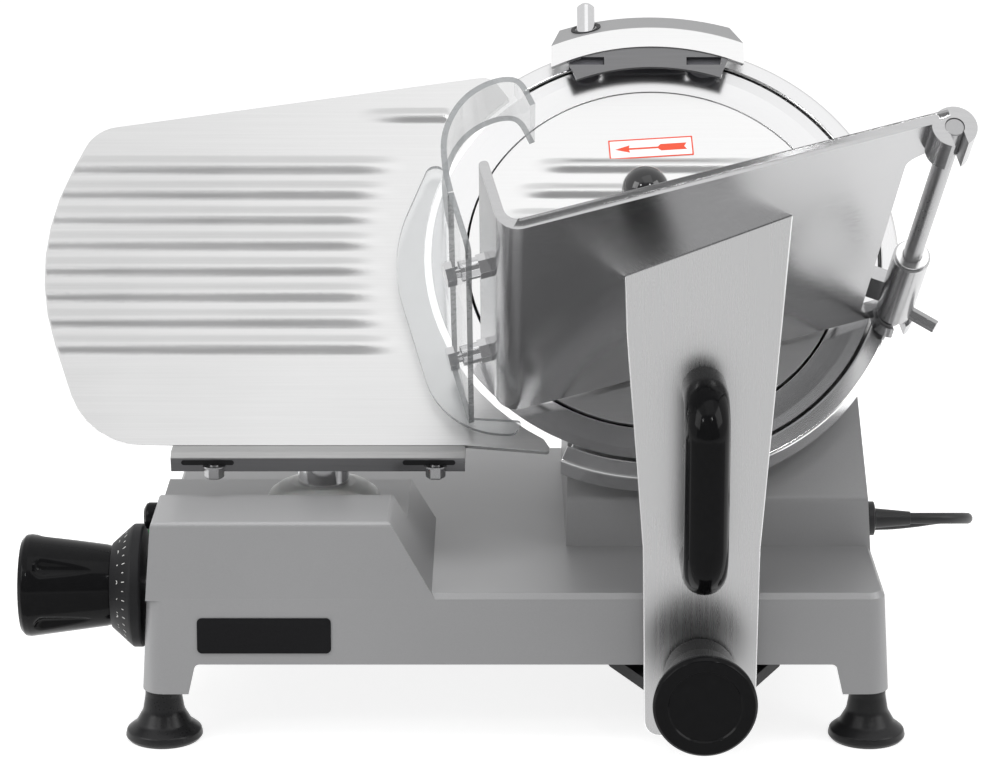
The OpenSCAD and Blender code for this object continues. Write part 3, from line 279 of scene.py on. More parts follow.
# %% Finishes of the slicer
CAST = finish("cast_satin", (0.37, 0.37, 0.375), 0.42, scale=1400, tint=0.05, bump=0.10, depth=0.12, Metallic=0.35)
# Brighter than the casting: partly wear along the edges and partly a painted highlight on them.
CAST_EDGE_WEAR_HIGHLIGHT = finish("cast_edge_wear_and_highlight", (0.72, 0.72, 0.725), 0.30, scale=1400, tint=0.08, Metallic=0.85)
brushed = partial(finish, depth=0.1, Metallic=1)
PLATE = brushed("brushed_plate", (0.80, 0.80, 0.80), 0.35, scale=900, stretch=(0.012, 1, 1), tint=0.05, bump=0.03)
COVER = brushed("satin_cover", (0.86, 0.86, 0.86), 0.32, scale=900, stretch=(0.012, 1, 1), tint=0.03, sheen=0.05,
                bump=0.03)
TRAY_BRIGHT = brushed("bright_tray", (0.50, 0.50, 0.505), 0.22, scale=700, stretch=(0.02, 1, 1), sheen=0.05,
                      bump=0.03)
ARM_BRUSHED = brushed("brushed_arm", (0.74, 0.74, 0.74), 0.27, scale=900, stretch=(1, 1, 0.014), tint=0.025,
                      sheen=0.04, bump=0.02)
ringed = partial(finish, stretch=(1, 0.02, 1), bump=0.04, turned_about=BLADE, Metallic=1)
GROUND = ringed("ground_blade", (0.80, 0.80, 0.805), 0.22, scale=2600, depth=0.05)
TURNED_RING = ringed("turned_ring", (0.78, 0.78, 0.785), 0.26, scale=1800, depth=0.08)
CHROME = finish("bright_steel", (0.78, 0.78, 0.79), 0.12, scale=500, tint=0.04, sheen=0.05, bump=0.01, Metallic=1)
# On the bevels of the eased metal pieces its extra brightness is partly wear and partly a painted highlight.
STEEL_EDGE = finish("steel_edge", (0.88, 0.88, 0.88), 0.16, scale=500, tint=0.03, bump=0.01, Metallic=1)
ZINC = finish("zinc_bar", (0.22, 0.22, 0.225), 0.36, scale=700, stretch=(0.03, 1, 1), tint=0.12, sheen=0.1, bump=0.08,
              Metallic=1)
GLOSS = finish("gloss_black", (0.006, 0.006, 0.0065), 0.12, scale=260, tint=0.2, sheen=0.04, bump=0.012, depth=0.1,
               Specular_IOR_Level=0.12)
BALL_BLACK = finish("ball_black", (0.012, 0.012, 0.013), 0.08, scale=260, tint=0.2, sheen=0.03, bump=0.01, depth=0.1,
                    Coat_Weight=0.6, Coat_Roughness=0.04)
# Darker grey for the hood's faces that face up the slope: painted shade.
HOOD_TOP_PAINTED_SHADE = finish("hood_top_painted_shade", (0.34, 0.34, 0.345), 0.38, scale=900, stretch=(0.03, 1, 1), Metallic=0.6)
PRINTED_BLACK = finish("printed_black", (0.010, 0.010, 0.011), 0.22, scale=700, tint=0.15, sheen=0.05, bump=0.03,
                       Specular_IOR_Level=0.12)
MATTE = finish("matte_black", (0.014, 0.014, 0.015), 0.46, scale=1500, tint=0.25, sheen=0.1, bump=0.14, depth=0.12,
               Specular_IOR_Level=0.2)
RUBBER = finish("foot_rubber", (0.016, 0.016, 0.017), 0.34, scale=900, tint=0.25, sheen=0.1, bump=0.06, depth=0.1,
                Specular_IOR_Level=0.3)
LEAD = finish("lead_rubber", (0.018, 0.018, 0.019), 0.42, scale=800, tint=0.25, sheen=0.1, bump=0.08, depth=0.1)
NYLON = finish("white_nylon", (0.80, 0.80, 0.78), 0.34, scale=400, tint=0.03, bump=0.03, Subsurface_Weight=0.05)
CLEAR = finish("clear_sheet", (0.66, 0.68, 0.69), 0.05, scale=60, tint=0.05, sheen=0.02, bump=0.004, depth=0.3,
               Alpha=0.2, Coat_Weight=1.0, Coat_Roughness=0.03)
# Grey on the cut edges of the clear sheet: painted shade, standing in for the light they bend.
CLEAR_EDGE_PAINTED_SHADE = finish("clear_edge_painted_shade", (0.22, 0.23, 0.235), 0.28, scale=300, tint=0.1, sheen=0.05, bump=0.02, depth=0.1,
                    Alpha=0.85)
ROD_SATIN = finish("rod_satin", (0.42, 0.42, 0.425), 0.30, scale=900, stretch=(1, 1, 0.05), bump=0.03,
                   Metallic=1)
BAR_SAWN = finish("bar_sawn", (0.37, 0.37, 0.37), 0.45, scale=900, stretch=(0.05, 1, 1), tint=0.14, sheen=0.1,
                  bump=0.12, Metallic=0.5)
MOTOR = finish("motor_paint", (0.07, 0.075, 0.085), 0.45, scale=900, tint=0.12, bump=0.12, depth=0.1)
BRONZE = finish("bush_bronze", (0.55, 0.36, 0.14), 0.32, scale=900, tint=0.1, Metallic=1)
STONE = finish("stone_grit", (0.10, 0.10, 0.11), 0.85, scale=2600, tint=0.5, sheen=0.1, bump=0.5)
GREEN = finish("green_button", (0.03, 0.22, 0.06), 0.25, scale=500, tint=0.08, bump=0.02)
RED = finish("red_button", (0.42, 0.015, 0.015), 0.25, scale=500, tint=0.08, bump=0.02)
WHITE_INK = finish("white_ink", (0.82, 0.82, 0.80), 0.5, scale=2000, bump=0.03)
LABEL_WHITE = finish("label_white", (0.86, 0.86, 0.86), 0.4, scale=900, tint=0.02, bump=0.02)
LABEL_RED = finish("label_red", (0.72, 0.075, 0.03), 0.45, scale=900, tint=0.05, bump=0.02)
print("finishes:", len(bpy.data.materials))

# %% [markdown]
# ## Pieces that ride
# A finished piece sits at the origin with its place in its mesh, takes a finish, and rides on the body that carries
# it. When it stands for a solid, that solid is hidden and goes on working only in the physics model.


# %% Piece helpers
def piece_from(name, mesh, *finishes):
    piece = bpy.data.objects.new(name, mesh)
    scene.collection.objects.link(piece)
    which = [min(face.material_index, len(finishes) - 1) for face in mesh.polygons]
    mesh.materials.clear()
    for material in finishes:
        mesh.materials.append(material)
    mesh.polygons.foreach_set("material_index", which)
    return piece


def dress(piece, body, slot, *stands_for):
    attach(piece, body)
    if stands_for:
        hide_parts(*stands_for)
    print(piece.name, "rides on", body)
    return piece


def evaluated_mesh(source):
    """The mesh that an object's curve or modifiers give; the object itself goes."""
    if source.type == "MESH":
        source.data.update()
    bpy.context.view_layer.update()
    depsgraph = bpy.context.evaluated_depsgraph_get()
    mesh = bpy.data.meshes.new_from_object(source.evaluated_get(depsgraph))
    bpy.data.objects.remove(source)
    return mesh


def mesh_of(name, shape, place):
    """The mesh of a shape that was drawn in millimetres, put in place with its normals outwards."""
    bmesh.ops.recalc_face_normals(shape, faces=shape.faces)
    shape.transform(place @ Matrix.Scale(MM, 4))
    mesh = bpy.data.meshes.new(name)
    shape.to_mesh(mesh)
    shape.free()
    return mesh


def smooth_by_angle(mesh, degrees=35):
    mesh.shade_smooth()
    mesh.set_sharp_from_angle(angle=math.radians(degrees))


# %% [markdown]
# ## Eased edges
# A real edge is never sharp: casting, stamping and tumbling leave a small round that catches the light.
# A solid's mesh is loose triangles, so a copy is merged, its flat faces are joined, and a bevel rounds what stays.
# The new faces take a second, brighter finish, which is partly wear along the edges and partly a painted highlight on
# them. Normals are weighted by area, so that the large faces stay flat in their reflections.


# %% Eased copies of the solids
WELD, SLIVER = 3e-6, 1e-8


def eased(node, width, bend, *finishes):
    finishes = (finishes * 2)[:2]
    mesh = frame["nodes"][node].data.copy()
    shape = bmesh.new()
    shape.from_mesh(mesh)
    bmesh.ops.remove_doubles(shape, verts=shape.verts, dist=WELD)
    bmesh.ops.dissolve_limit(shape, angle_limit=math.radians(0.5), verts=shape.verts, edges=shape.edges)
    if bend:
        for vert in shape.verts:
            vert.co = bend(vert.co)
        flattened = [face for face in shape.faces if face.calc_area() < SLIVER]
        bmesh.ops.delete(shape, geom=flattened, context="FACES_ONLY")
    shape.to_mesh(mesh)
    shape.free()
    piece = piece_from(node + "_eased", mesh, *finishes)
    for face in mesh.polygons:
        face.material_index = 0
    smooth_by_angle(mesh)
    bevel = piece.modifiers.new("eased edges", "BEVEL")
    bevel.width = width * MM
    bevel.segments = 2
    bevel.limit_method = "ANGLE"
    bevel.angle_limit = math.radians(30)
    bevel.material = 1
    flats = piece.modifiers.new("flats stay flat", "WEIGHTED_NORMAL")
    flats.keep_sharp = True
    return piece_from(node + "_eased", evaluated_mesh(piece), *finishes)


# For the hood's left and right end: its slope on the solid, its half width in front, and how fast it draws in
HOOD_LEFT, HOOD_RIGHT = (0.3907, 57.3, 0.29), (0.3584, 52.9, 0.36)
HOOD_FRONT, HOOD_BACK, HOOD_INNER = 12, -8, 43.5


def square_ends(point):
    """The hood's ends, cut along its radii on the solid, stand upright in front and draw in towards the back."""
    u, v, w = in_blade(point)
    r = math.hypot(u, v)
    if abs(u) <= HOOD_INNER:
        return point
    slope, half, draw = HOOD_LEFT if u < 0 else HOOD_RIGHT
    goal = half - draw * (HOOD_FRONT - max(w, HOOD_BACK))
    share = (abs(u) - HOOD_INNER) / (r * slope - HOOD_INNER)
    u = math.copysign(HOOD_INNER + share * (goal - HOOD_INNER), u)
    return from_blade(u, math.sqrt(r * r - u * u), w)


PLATE_FACE, COVER_FACE = -0.5, -1


def level_front(point):
    """The plate's front is levelled; its ribs come back later, out to the plate's edge and with ends that fade."""
    u, v, w = in_blade(point)
    return from_blade(u, v, min(w, PLATE_FACE))


BENDS = {"sharpener_hood": square_ends, "gauge_plate": level_front}
EASED = [
    ("base_casting", 1.2, "cast_aluminium", CAST, CAST_EDGE_WEAR_HIGHLIGHT),
    ("bottom_plate", 0.3, "cast_aluminium", ZINC),
    ("ring_guard", 0.5, "polished_aluminium", TURNED_RING, STEEL_EDGE),
    ("blade_cover", 0.4, "polished_aluminium", COVER),
    ("cover_knob", 0.5, "black_gloss", GLOSS),
    ("sharpener_hood", 0.6, "polished_aluminium", COVER, STEEL_EDGE),
    # The shield is a dark sheet where the hood's underside lies in shade; its dark finish is painted shade.
    ("sharpener_shield", 0.3, "black_matte", ZINC),
    ("sharpener_pin", 0.3, "bright_steel", CHROME),
    ("switch_box", 0.6, "black_matte", MATTE),
    ("pilot_lamp", 0.3, "black_gloss", GLOSS),
    ("cord_gland", 0.3, "lead_rubber", LEAD),
    ("cord_tie", 0.2, "black_matte", MATTE),
    ("gauge_plate", 0.5, "polished_aluminium", PLATE, STEEL_EDGE),
    ("food_tray", 0.6, "polished_aluminium", TRAY_BRIGHT, STEEL_EDGE),
    ("carriage_arm", 0.8, "polished_aluminium", ARM_BRUSHED, STEEL_EDGE),
    ("carriage_foot", 0.7, "black_matte", MATTE),
    ("rail_shoe", 0.4, "white_nylon", NYLON),
    ("guard_bolts", 0.35, "bright_steel", CHROME),
    ("pusher_rod", 0.5, "bright_steel", ROD_SATIN),
    ("pusher_bush", 0.3, "bright_steel", STEEL_EDGE),
    ("pusher_sleeve", 0.5, "polished_aluminium", TRAY_BRIGHT),
    ("pusher_plate", 0.5, "polished_aluminium", PLATE),
    ("start_button", 0.4, "green_plastic", GREEN),
    ("stop_button", 0.4, "red_plastic", RED),
]
BODY_OF = {name: node["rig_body"] for name, node in frame["nodes"].items()}
for node, width, slot, *finishes in EASED:
    dress(eased(node, width, BENDS.get(node), *finishes), BODY_OF[node], slot, node)
# The faces of the hood that face up the slope take the darker grey: painted shade.
hood_mesh = bpy.data.objects["sharpener_hood_eased"].data
hood_mesh.materials.append(HOOD_TOP_PAINTED_SHADE)
up_slope = BLADE.to_3x3() @ Vector((0, 1, 0))
for face in hood_mesh.polygons:
    if face.normal.dot(up_slope) > 0.4:
        face.material_index = 2

# %% [markdown]
# ## Working parts inside
# The drive, the slide rods and the scroll are seen only from below or through gaps, and their solids are right as
# they are. They keep their meshes and take a finish each.

# %% Finishes on the inner solids
INNER = {
    "slide_rod": CHROME, "guide_rail": CHROME, "gauge_guide_rod": CHROME, "motor_body": MOTOR, "motor_bracket": ZINC,
    "bearing_housing": CAST, "shaft_bearings": CHROME, "cover_tie_rod": CHROME, "drive_belt": LEAD,
    "dial_shaft": CHROME, "scroll_disc": ZINC, "gauge_slide": CAST, "blade_shaft": CHROME, "blade_pulley": ZINC,
    "blade_screws": CHROME, "motor_shaft": CHROME, "motor_pulley": MATTE, "motor_fan": MATTE,
    "slide_bushes": BRONZE, "sharpening_stones": STONE,
}
for node, material in INNER.items():
    mesh = frame["nodes"][node].data
    mesh.materials.clear()
    mesh.materials.append(material)
print("inner solids finished:", len(INNER))

# %% [markdown]
# ## Turned pieces
# Knobs, feet, the post and the blade are bodies of revolution. A profile of radius and height, with a fillet at each
# corner, is taken round an axis in many fine steps, which gives a rounder outline than the solid's own facets.


# %% Lathe
def filleted(profile, steps=5):
    """Profile points (radius, height, fillet) with each fillet drawn as an arc."""
    points = [Vector(p[:2]) for p in profile]
    out = []
    for i, row in enumerate(profile):
        fillet = row[2] if len(row) > 2 else 0
        if fillet == 0 or i in (0, len(profile) - 1):
            out.append(points[i])
            continue
        a = (points[i - 1] - points[i]).normalized()
        b = (points[i + 1] - points[i]).normalized()
        half = a.angle(b) / 2
        start = points[i] + a * fillet / math.tan(half)
        end = points[i] + b * fillet / math.tan(half)
        middle = points[i] + (a + b).normalized() * fillet / math.sin(half)
        for k in range(steps + 1):
            spoke = (start - middle).lerp(end - middle, k / steps).normalized() * fillet
            out.append(middle + spoke)
    return out


def lathe_mesh(name, profile, place, steps, reach=None):
    """A closed turned mesh in millimetres; reach(radius, height, angle) may press the surface in."""
    points = filleted(profile)
    shape = bmesh.new()
    rings = []
    for radius, height in points:
        if radius < 1e-6:
            rings.append([shape.verts.new((0, 0, height))])
            continue
        ring = []
        for k in range(steps):
            angle = 2 * math.pi * k / steps
            r = reach(radius, height, angle) if reach else radius
            ring.append(shape.verts.new((r * math.cos(angle), r * math.sin(angle), height)))
        rings.append(ring)
    closing = [(rings[-1], rings[0])] if min(len(rings[0]), len(rings[-1])) > 1 else []
    for low, high in [*zip(rings, rings[1:]), *closing]:
        for k in range(steps):
            n = (k + 1) % steps
            corners = [low[k % len(low)], low[n % len(low)], high[n % len(high)], high[k % len(high)]]
            corners = list(dict.fromkeys(corners))
            if len(corners) > 2:
                shape.faces.new(corners)
    mesh = mesh_of(name, shape, place)
    smooth_by_angle(mesh, 32)
    return mesh


def joined(name, meshes):
    shape = bmesh.new()
    for mesh in meshes:
        shape.from_mesh(mesh)
    whole = bpy.data.meshes.new(name)
    shape.to_mesh(whole)
    shape.free()
    smooth_by_angle(whole, 32)
    return whole


def turned(name, profile, place, steps, material, reach=None):
    return piece_from(name, lathe_mesh(name, profile, place, steps, reach), material)


# %% Feet
FOOT_PROFILE = [(0, 0), (19.2, 0, 1.2), (21, 2.2, 1.4), (20.2, 5.6, 2), (15.2, 9.6, 6), (11.3, 16.5, 9), (9.9, 25, 8),
                (9.6, 33, 0.5), (4, 33), (4, 46), (0, 46)]
FOOT_PLACES = [(x, y) for x in (-172.7, 209.3) for y in (-76.5, 166.3)]
feet = joined("feet_turned", [lathe_mesh("foot", FOOT_PROFILE, moved(x, y, 0), 72) for x, y in FOOT_PLACES])
dress(piece_from("feet_turned", feet, RUBBER), "base", "foot_rubber", "feet")

# %% Blade
BLADE_PROFILE = [(15, -8), (104, -8, 0.4), (106, -2.6, 0.3), (119, -1.2, 0.6), (124.9, -0.05), (125, -0.25),
                 (111, -7, 1), (98.5, -11, 1), (15, -11)]
dress(turned("blade_ground", BLADE_PROFILE, BLADE, 192, GROUND), "blade_unit", "blade_steel", "blade")

# %% Gauge post and its collar
POST_PROFILE = [(0, 106), (14.25, 106, 0.4), (14.25, 142, 0.2), (0, 142)]
COLLAR_PROFILE = [(14.27, 114.3), (31.25, 114.3, 0.4), (31.25, 116.3, 0.6), (29.8, 119.6, 3), (25, 123.2, 4),
                  (18, 125.3, 2), (14.27, 125.3)]
dress(turned("gauge_post_turned", POST_PROFILE, POST, 72, CHROME), "gauge", "bright_steel", "gauge_post")
dress(turned("post_collar_turned", COLLAR_PROFILE, POST, 96, NYLON), "gauge", "white_nylon", "post_collar")

# %% Clamp knob
CLAMP_PROFILE = [(0, -12), (5, -12, 0.5), (5, 0.2), (18.9, 0.2, 0.6), (19.4, 4, 2), (20.0, 20, 12), (22.4, 38, 14),
                 (25.3, 46, 5), (27.2, 50, 2), (27.3, 53, 1.2), (25.6, 55.3, 1.4), (19.6, 55.2, 0.5), (18.6, 54.2, 0.5),
                 (0, 54.2)]
dress(turned("clamp_knob_turned", CLAMP_PROFILE, CLAMP, 112, GLOSS), "clamp", "black_gloss", "clamp_knob")

# %% Pusher ball
BALL_R, BALL_HEIGHT = 13, 33
BALL = [(0, 0), (6, 0, 0.6), (5, 18, 2)]
for a in range(-60, 90, 6):
    BALL.append((BALL_R * math.cos(math.radians(a)), BALL_HEIGHT + BALL_R * math.sin(math.radians(a))))
BALL.append((0, BALL_HEIGHT + BALL_R))
ball = turned("pusher_ball", BALL, ROD @ moved(-121, 86, 22), 72, BALL_BLACK)
dress(ball, "pusher", "black_gloss", "pusher_knob")

# %% [markdown]
# ## Handle
# The handle is a thick bar bent into a D and dipped in gloss black. A curve through its bends with a round section
# gives it in one piece, and the ends run into the arm.


# %% Handle
def tube(name, line, radius, resolution):
    """A round bar along a line of points."""
    curve = bpy.data.curves.new(name, "CURVE")
    curve.dimensions = "3D"
    curve.bevel_depth = radius * MM
    curve.bevel_resolution = resolution
    curve.use_fill_caps = True
    spline = curve.splines.new("POLY")
    spline.points.add(len(line) - 1)
    for point, spot in zip(spline.points, line):
        point.co = (*(Vector(spot) * MM), 1)
    bar = bpy.data.objects.new(name, curve)
    scene.collection.objects.link(bar)
    return bar


HANDLE_X, HANDLE_R, BEND_R = 116, 11.8, 18
ROOT_Y, REACH_Y, LOW_Z, HIGH_Z = -112.6, -151.5, 113.5, 206.5
bend_y, low_bend, high_bend = REACH_Y + BEND_R, LOW_Z + BEND_R, HIGH_Z - BEND_R
quarter = [math.radians(90 * k / 12) for k in range(13)]
handle_line = [(HANDLE_X, ROOT_Y, LOW_Z)]
handle_line += [(HANDLE_X, bend_y - BEND_R * math.sin(a), low_bend - BEND_R * math.cos(a)) for a in quarter]
handle_line += [(HANDLE_X, bend_y - BEND_R * math.cos(a), high_bend + BEND_R * math.sin(a)) for a in quarter]
handle_line.append((HANDLE_X, ROOT_Y, HIGH_Z))
handle_mesh = evaluated_mesh(tube("handle_line", handle_line, HANDLE_R, 10))
smooth_by_angle(handle_mesh)
dress(piece_from("handle_dipped", handle_mesh, GLOSS), "carriage", "black_gloss", "arm_handle")

# %% [markdown]
# ## Dial
# The knob of the thickness dial is a cone with five teardrop scoops for the fingers, which start near the wide end
# and run out towards the skirt. The lathe above takes a rule that presses the surface in, so the scoops come with
# the turning and need no cutting.


# %% Dial knob and skirt
SCOOP_FROM, SCOOP_RUN, SCOOP_HALF, SCOOP_DEPTH = 9, 31, 7.0, 3.6


def scoops(radius, height, angle, count=5, first=232):
    """Radius of the knob inside a teardrop scoop: deep at the wide end, gone near the skirt."""
    run = (height - SCOOP_FROM) / SCOOP_RUN
    if not 0 < run < 1:
        return radius
    step = math.radians(360 / count)
    off = (angle - math.radians(first) + step / 2) % step - step / 2
    width = SCOOP_HALF * (1 - run) ** 0.6 * min(1, run * 9) ** 0.5
    across = abs(off * radius) / max(width, 1e-6)
    depth = SCOOP_DEPTH * (1 - run) ** 0.8 * min(1, run * 7) ** 0.6
    return radius - depth * max(0, 1 - across * across) ** 2


KNOB_PROFILE = [(0, 1), (20, 0.2, 2), (25.3, 1, 1.5), (27.5, 3.2, 2), (27.85, 6, 3)]
KNOB_PROFILE += [(27.85 - 5.65 * k / 40, 6 + 41 * k / 40) for k in range(1, 41)] + [(21.4, 50), (0, 50)]
SKIRT_PROFILE = [(5.02, 0), (23, 0, 0.4), (32.9, 11, 0.8), (33.5, 12, 0.6), (33.5, 16.5, 0.8), (32.5, 17.5, 0.5),
                 (5.02, 17.5)]
knob = turned("dial_knob_scooped", KNOB_PROFILE, DIAL @ moved(0, 0, -50), 240, GLOSS, scoops)
dress(knob, "dial", "black_gloss", "dial_knob")
dress(turned("dial_skirt_turned", SKIRT_PROFILE, DIAL, 128, MATTE), "dial", "black_matte", "dial_skirt")

# %% [markdown]
# ## Geometry Nodes
# What repeats by a rule is grown by a node tree: the tree is wired in the script, its sizes are named inputs, and the
# result is turned into a plain mesh. These helpers make the tree, close it and harvest the mesh.


# %% Tree helpers
def new_tree(name, **inputs):
    """A tree, its inputs and the helpers bound to it; a whole number makes a whole-number input."""
    tree = bpy.data.node_groups.new(name, "GeometryNodeTree")
    tree.is_modifier = True
    for label, value in inputs.items():
        kind = "NodeSocketInt" if isinstance(value, int) else "NodeSocketFloat"
        tree.interface.new_socket(label, in_out="INPUT", socket_type=kind).default_value = value
    tree.interface.new_socket("Material", in_out="INPUT", socket_type="NodeSocketMaterial")
    tree.interface.new_socket("Geometry", in_out="OUTPUT", socket_type="NodeSocketGeometry")
    xyz = partial(add, tree, "ShaderNodeCombineXYZ")
    return tree, tree.nodes.new("NodeGroupInput").outputs, partial(add, tree), xyz, partial(sums, tree)


def close_tree(tree, size, geometry):
    solid = add(tree, "RealizeInstances", geometry)
    paint = add(tree, "SetMaterial", Geometry=solid, Material=size["Material"])
    add(tree, "NodeGroupOutput", Geometry=paint)
    return tree


def grown(name, tree, place, material, **values):
    """The mesh that a tree grows, in millimetres, put in place."""
    source = bpy.data.objects.new(name, bpy.data.meshes.new(name))
    scene.collection.objects.link(source)
    modifier = source.modifiers.new("tree", "NODES")
    modifier.node_group = tree
    keys = {s.name: s.identifier for s in tree.interface.items_tree if s.in_out == "INPUT"}
    modifier[keys["Material"]] = material
    for label, value in values.items():
        modifier[keys[label]] = value
    shape = bmesh.new()
    shape.from_mesh(evaluated_mesh(source))
    mesh = mesh_of(name, shape, place)
    smooth_by_angle(mesh)
    return piece_from(name, mesh, material)


# %% [markdown]
# ### Ribs of the plates
# The gauge plate and the blade cover carry pressed ribs, so that wet food does not cling to them. A rib is a smooth
# wave across and a straight line along, and it fades where it ends. One tree draws a line for each row, from a left
# end to a right end that both follow a rule, sweeps the wave along it and thins it near its ends. The gauge plate's
# ribs run past its rounded left end, and what stands beyond is brought back to it.


# %% Rib tree
def rib_tree():
    tree, size, node, xyz, maths = new_tree(
        "pressed_ribs", Rows=8, Top=57.0, Pitch=16.1, Half_width=5.75, Height=1.84, Right_radius=149.0,
        Right_sign=-1.0, Right_base=0.0, Left_radius=0.0, Left_base=0.0, Left_middle=0.0, Fade_left=10.0,
        Fade_right=16.0, Sink=0.03)
    times, minus = partial(maths, "MULTIPLY"), partial(maths, "SUBTRACT")

    def position():
        return node("ShaderNodeSeparateXYZ", node("InputPosition")).outputs

    v = position()["Y"]

    def chord(radius, middle):
        off = minus(v, middle)
        gap = minus(times(radius, radius), times(off, off))
        return maths("SQRT", maths("MAXIMUM", gap, 0.0))

    rows = node("MeshLine", Count=size["Rows"], Start_Location=xyz(Y=size["Top"]),
                Offset=xyz(Y=times(size["Pitch"], -1.0)))
    right = maths("MULTIPLY_ADD", chord(size["Right_radius"], 0.0), size["Right_sign"], size["Right_base"])
    left = minus(size["Left_base"], chord(size["Left_radius"], size["Left_middle"]))
    measured = node("StoreNamedAttribute", Geometry=rows, Name="rib_length",
                    Value=minus(right, left))
    starts = node("SetPosition", Geometry=measured, Position=xyz(left, v))
    unit = node("CurvePrimitiveLine", Start=(0, 0, 0), End=(1, 0, 0))
    length = node("InputNamedAttribute", Name="rib_length").outputs["Attribute"]
    lines = node("InstanceOnPoints", Points=starts, Instance=unit, Scale=xyz(length, 1, 1))
    fine = node("ResampleCurve", Curve=node("RealizeInstances", lines), Count=60)
    along = node("SplineParameter").outputs["Length"]
    to_right = minus(node("SplineLength").outputs["Length"], along)

    def fade(distance, reach):
        return node("ShaderNodeMapRange", setup={"interpolation_type": "SMOOTHSTEP"}, Value=distance, From_Max=reach)

    thin = times(fade(along, size["Fade_left"]), fade(to_right, size["Fade_right"]))
    upright = node("SetCurveNormal", setup={"mode": "Z_UP"}, Curve=fine)
    faded = node("StoreNamedAttribute", Geometry=upright, Name="rib_fade", Value=thin)
    half = size["Half_width"]
    wave_line = node("CurvePrimitiveLine", Start=xyz(times(half, -1.0)), End=xyz(half))
    x = position()["X"]
    crest = maths("COSINE", times(maths("DIVIDE", x, half), math.pi / 2))
    lift = times(times(crest, crest), size["Height"])
    wave = node("SetPosition", Geometry=node("ResampleCurve", Curve=wave_line, Count=21),
                Position=xyz(x, minus(size["Sink"], lift)))
    section = node("SetSplineCyclic", Geometry=wave, Cyclic=True)
    ribs = node("CurveToMesh", Curve=faded, Profile_Curve=section, Fill_Caps=True)
    at = position()
    share = node("InputNamedAttribute", Name="rib_fade").outputs["Attribute"]
    above = times(maths("ADD", at["Z"], size["Sink"]), share)
    settled = node("SetPosition", Geometry=ribs,
                   Position=xyz(at["X"], at["Y"], minus(above, size["Sink"])))
    return close_tree(tree, size, settled)


# %% Ribs
PLATE_ROUND, PLATE_MIDDLE, PLATE_CENTRE = 150.0, -6.57, -189.9


def cut_to_plate(mesh):
    shape = bmesh.new()
    shape.from_mesh(mesh)
    for vert in shape.verts:
        u, v, w = in_blade(vert.co)
        plate_edge = PLATE_CENTRE - math.sqrt(PLATE_ROUND ** 2 - (v - PLATE_MIDDLE) ** 2)
        vert.co = from_blade(max(u, plate_edge), v, w)
    bmesh.ops.remove_doubles(shape, verts=shape.verts, dist=WELD)
    shape.to_mesh(mesh)
    shape.free()
    smooth_by_angle(mesh)


RIBS = rib_tree()


def ribs_on(body, name, place, material, **sizes):
    return dress(grown(name, RIBS, place, material, **sizes), body, "polished_aluminium")


ON_PLATE, ON_COVER = BLADE @ moved(0, 0, PLATE_FACE), BLADE @ moved(0, 0, COVER_FACE)
ACROSS_TRAY = TRAY @ moved(0, 6, 0) @ Matrix(((0, 1, 0, 0), (0, 0, 1, 0), (1, 0, 0, 0), (0, 0, 0, 1)))
plate_ribs = ribs_on("gauge", "gauge_ribs", ON_PLATE, PLATE, Left_base=-214.0, Left_radius=PLATE_ROUND,
                     Left_middle=PLATE_MIDDLE, Half_width=7.0, Fade_left=0.1, Fade_right=30.0)
cut_to_plate(plate_ribs.data)
ribs_on("gauge", "gauge_rib_short", ON_PLATE, PLATE, Rows=1, Top=89.2, Left_base=-170.0, Right_radius=145.0,
        Fade_left=34.0, Fade_right=4.0)
ribs_on("base", "cover_ribs", ON_COVER, COVER, Right_sign=1.0, Right_radius=90.0, Left_radius=90.0, Fade_left=24.0,
        Fade_right=24.0)
ribs_on("carriage", "tray_ribs", ACROSS_TRAY, TRAY_BRIGHT, Rows=11, Top=186.0, Height=1.2, Right_radius=0.0,
        Right_base=213.0, Left_base=3.3, Fade_left=0.1, Fade_right=20.0)

# %% [markdown]
# ### Graduation of the dial
# The skirt of the dial is marked in millimetres of slice: a long tick for each, a short one between. A circle of
# points carries a small bar each, turned to face outwards and laid on the slope of the cone.


# %% Tick tree
DIAL_FIRST, DIAL_STEP, DIAL_SLOPE = 96.0, 19.1, 42.0


def tick_tree():
    tree, size, node, xyz, maths = new_tree("dial_ticks", Count=31, Sweep=286.5, First=0.0, Radius=30.0, Height=7.8,
                                       Long=3.4, Short=1.9, Width=0.42, Slope=DIAL_SLOPE)
    index = node("InputIndex").outputs[0]
    gaps = maths("SUBTRACT", size["Count"], 1.0)
    angle = maths("ADD", size["First"], maths("DIVIDE", maths("MULTIPLY", index, size["Sweep"]), gaps))
    bearing = maths("RADIANS", angle)
    spot = xyz(maths("MULTIPLY", maths("COSINE", bearing), size["Radius"]),
               maths("MULTIPLY", maths("SINE", bearing), size["Radius"]), size["Height"])
    seats = node("SetPosition", Geometry=node("MeshLine", Count=size["Count"]), Position=spot)
    lean = xyz(Y=maths("RADIANS", maths("MULTIPLY", size["Slope"], -1.0)), Z=bearing)
    odd = maths("MODULO", index, 2.0)
    cut = maths("MULTIPLY", odd, maths("SUBTRACT", size["Long"], size["Short"]))
    marks = node("InstanceOnPoints", Points=seats, Instance=node("MeshCube", Size=(1, 1, 0.16)),
                 Rotation=node("FunctionNodeEulerToRotation", lean),
                 Scale=xyz(maths("SUBTRACT", size["Long"], cut), size["Width"], 1))
    return close_tree(tree, size, marks)


ticks = grown("dial_ticks", tick_tree(), DIAL, WHITE_INK, First=DIAL_FIRST)
dress(ticks, "dial", "white_nylon")
print("dial ticks:", len(ticks.data.polygons) // 6)

# %% [markdown]
# ### Numbers of the dial
# The numbers are text turned into a flat mesh. Each is laid on the cone beside its long tick, with its top towards
# the knob.


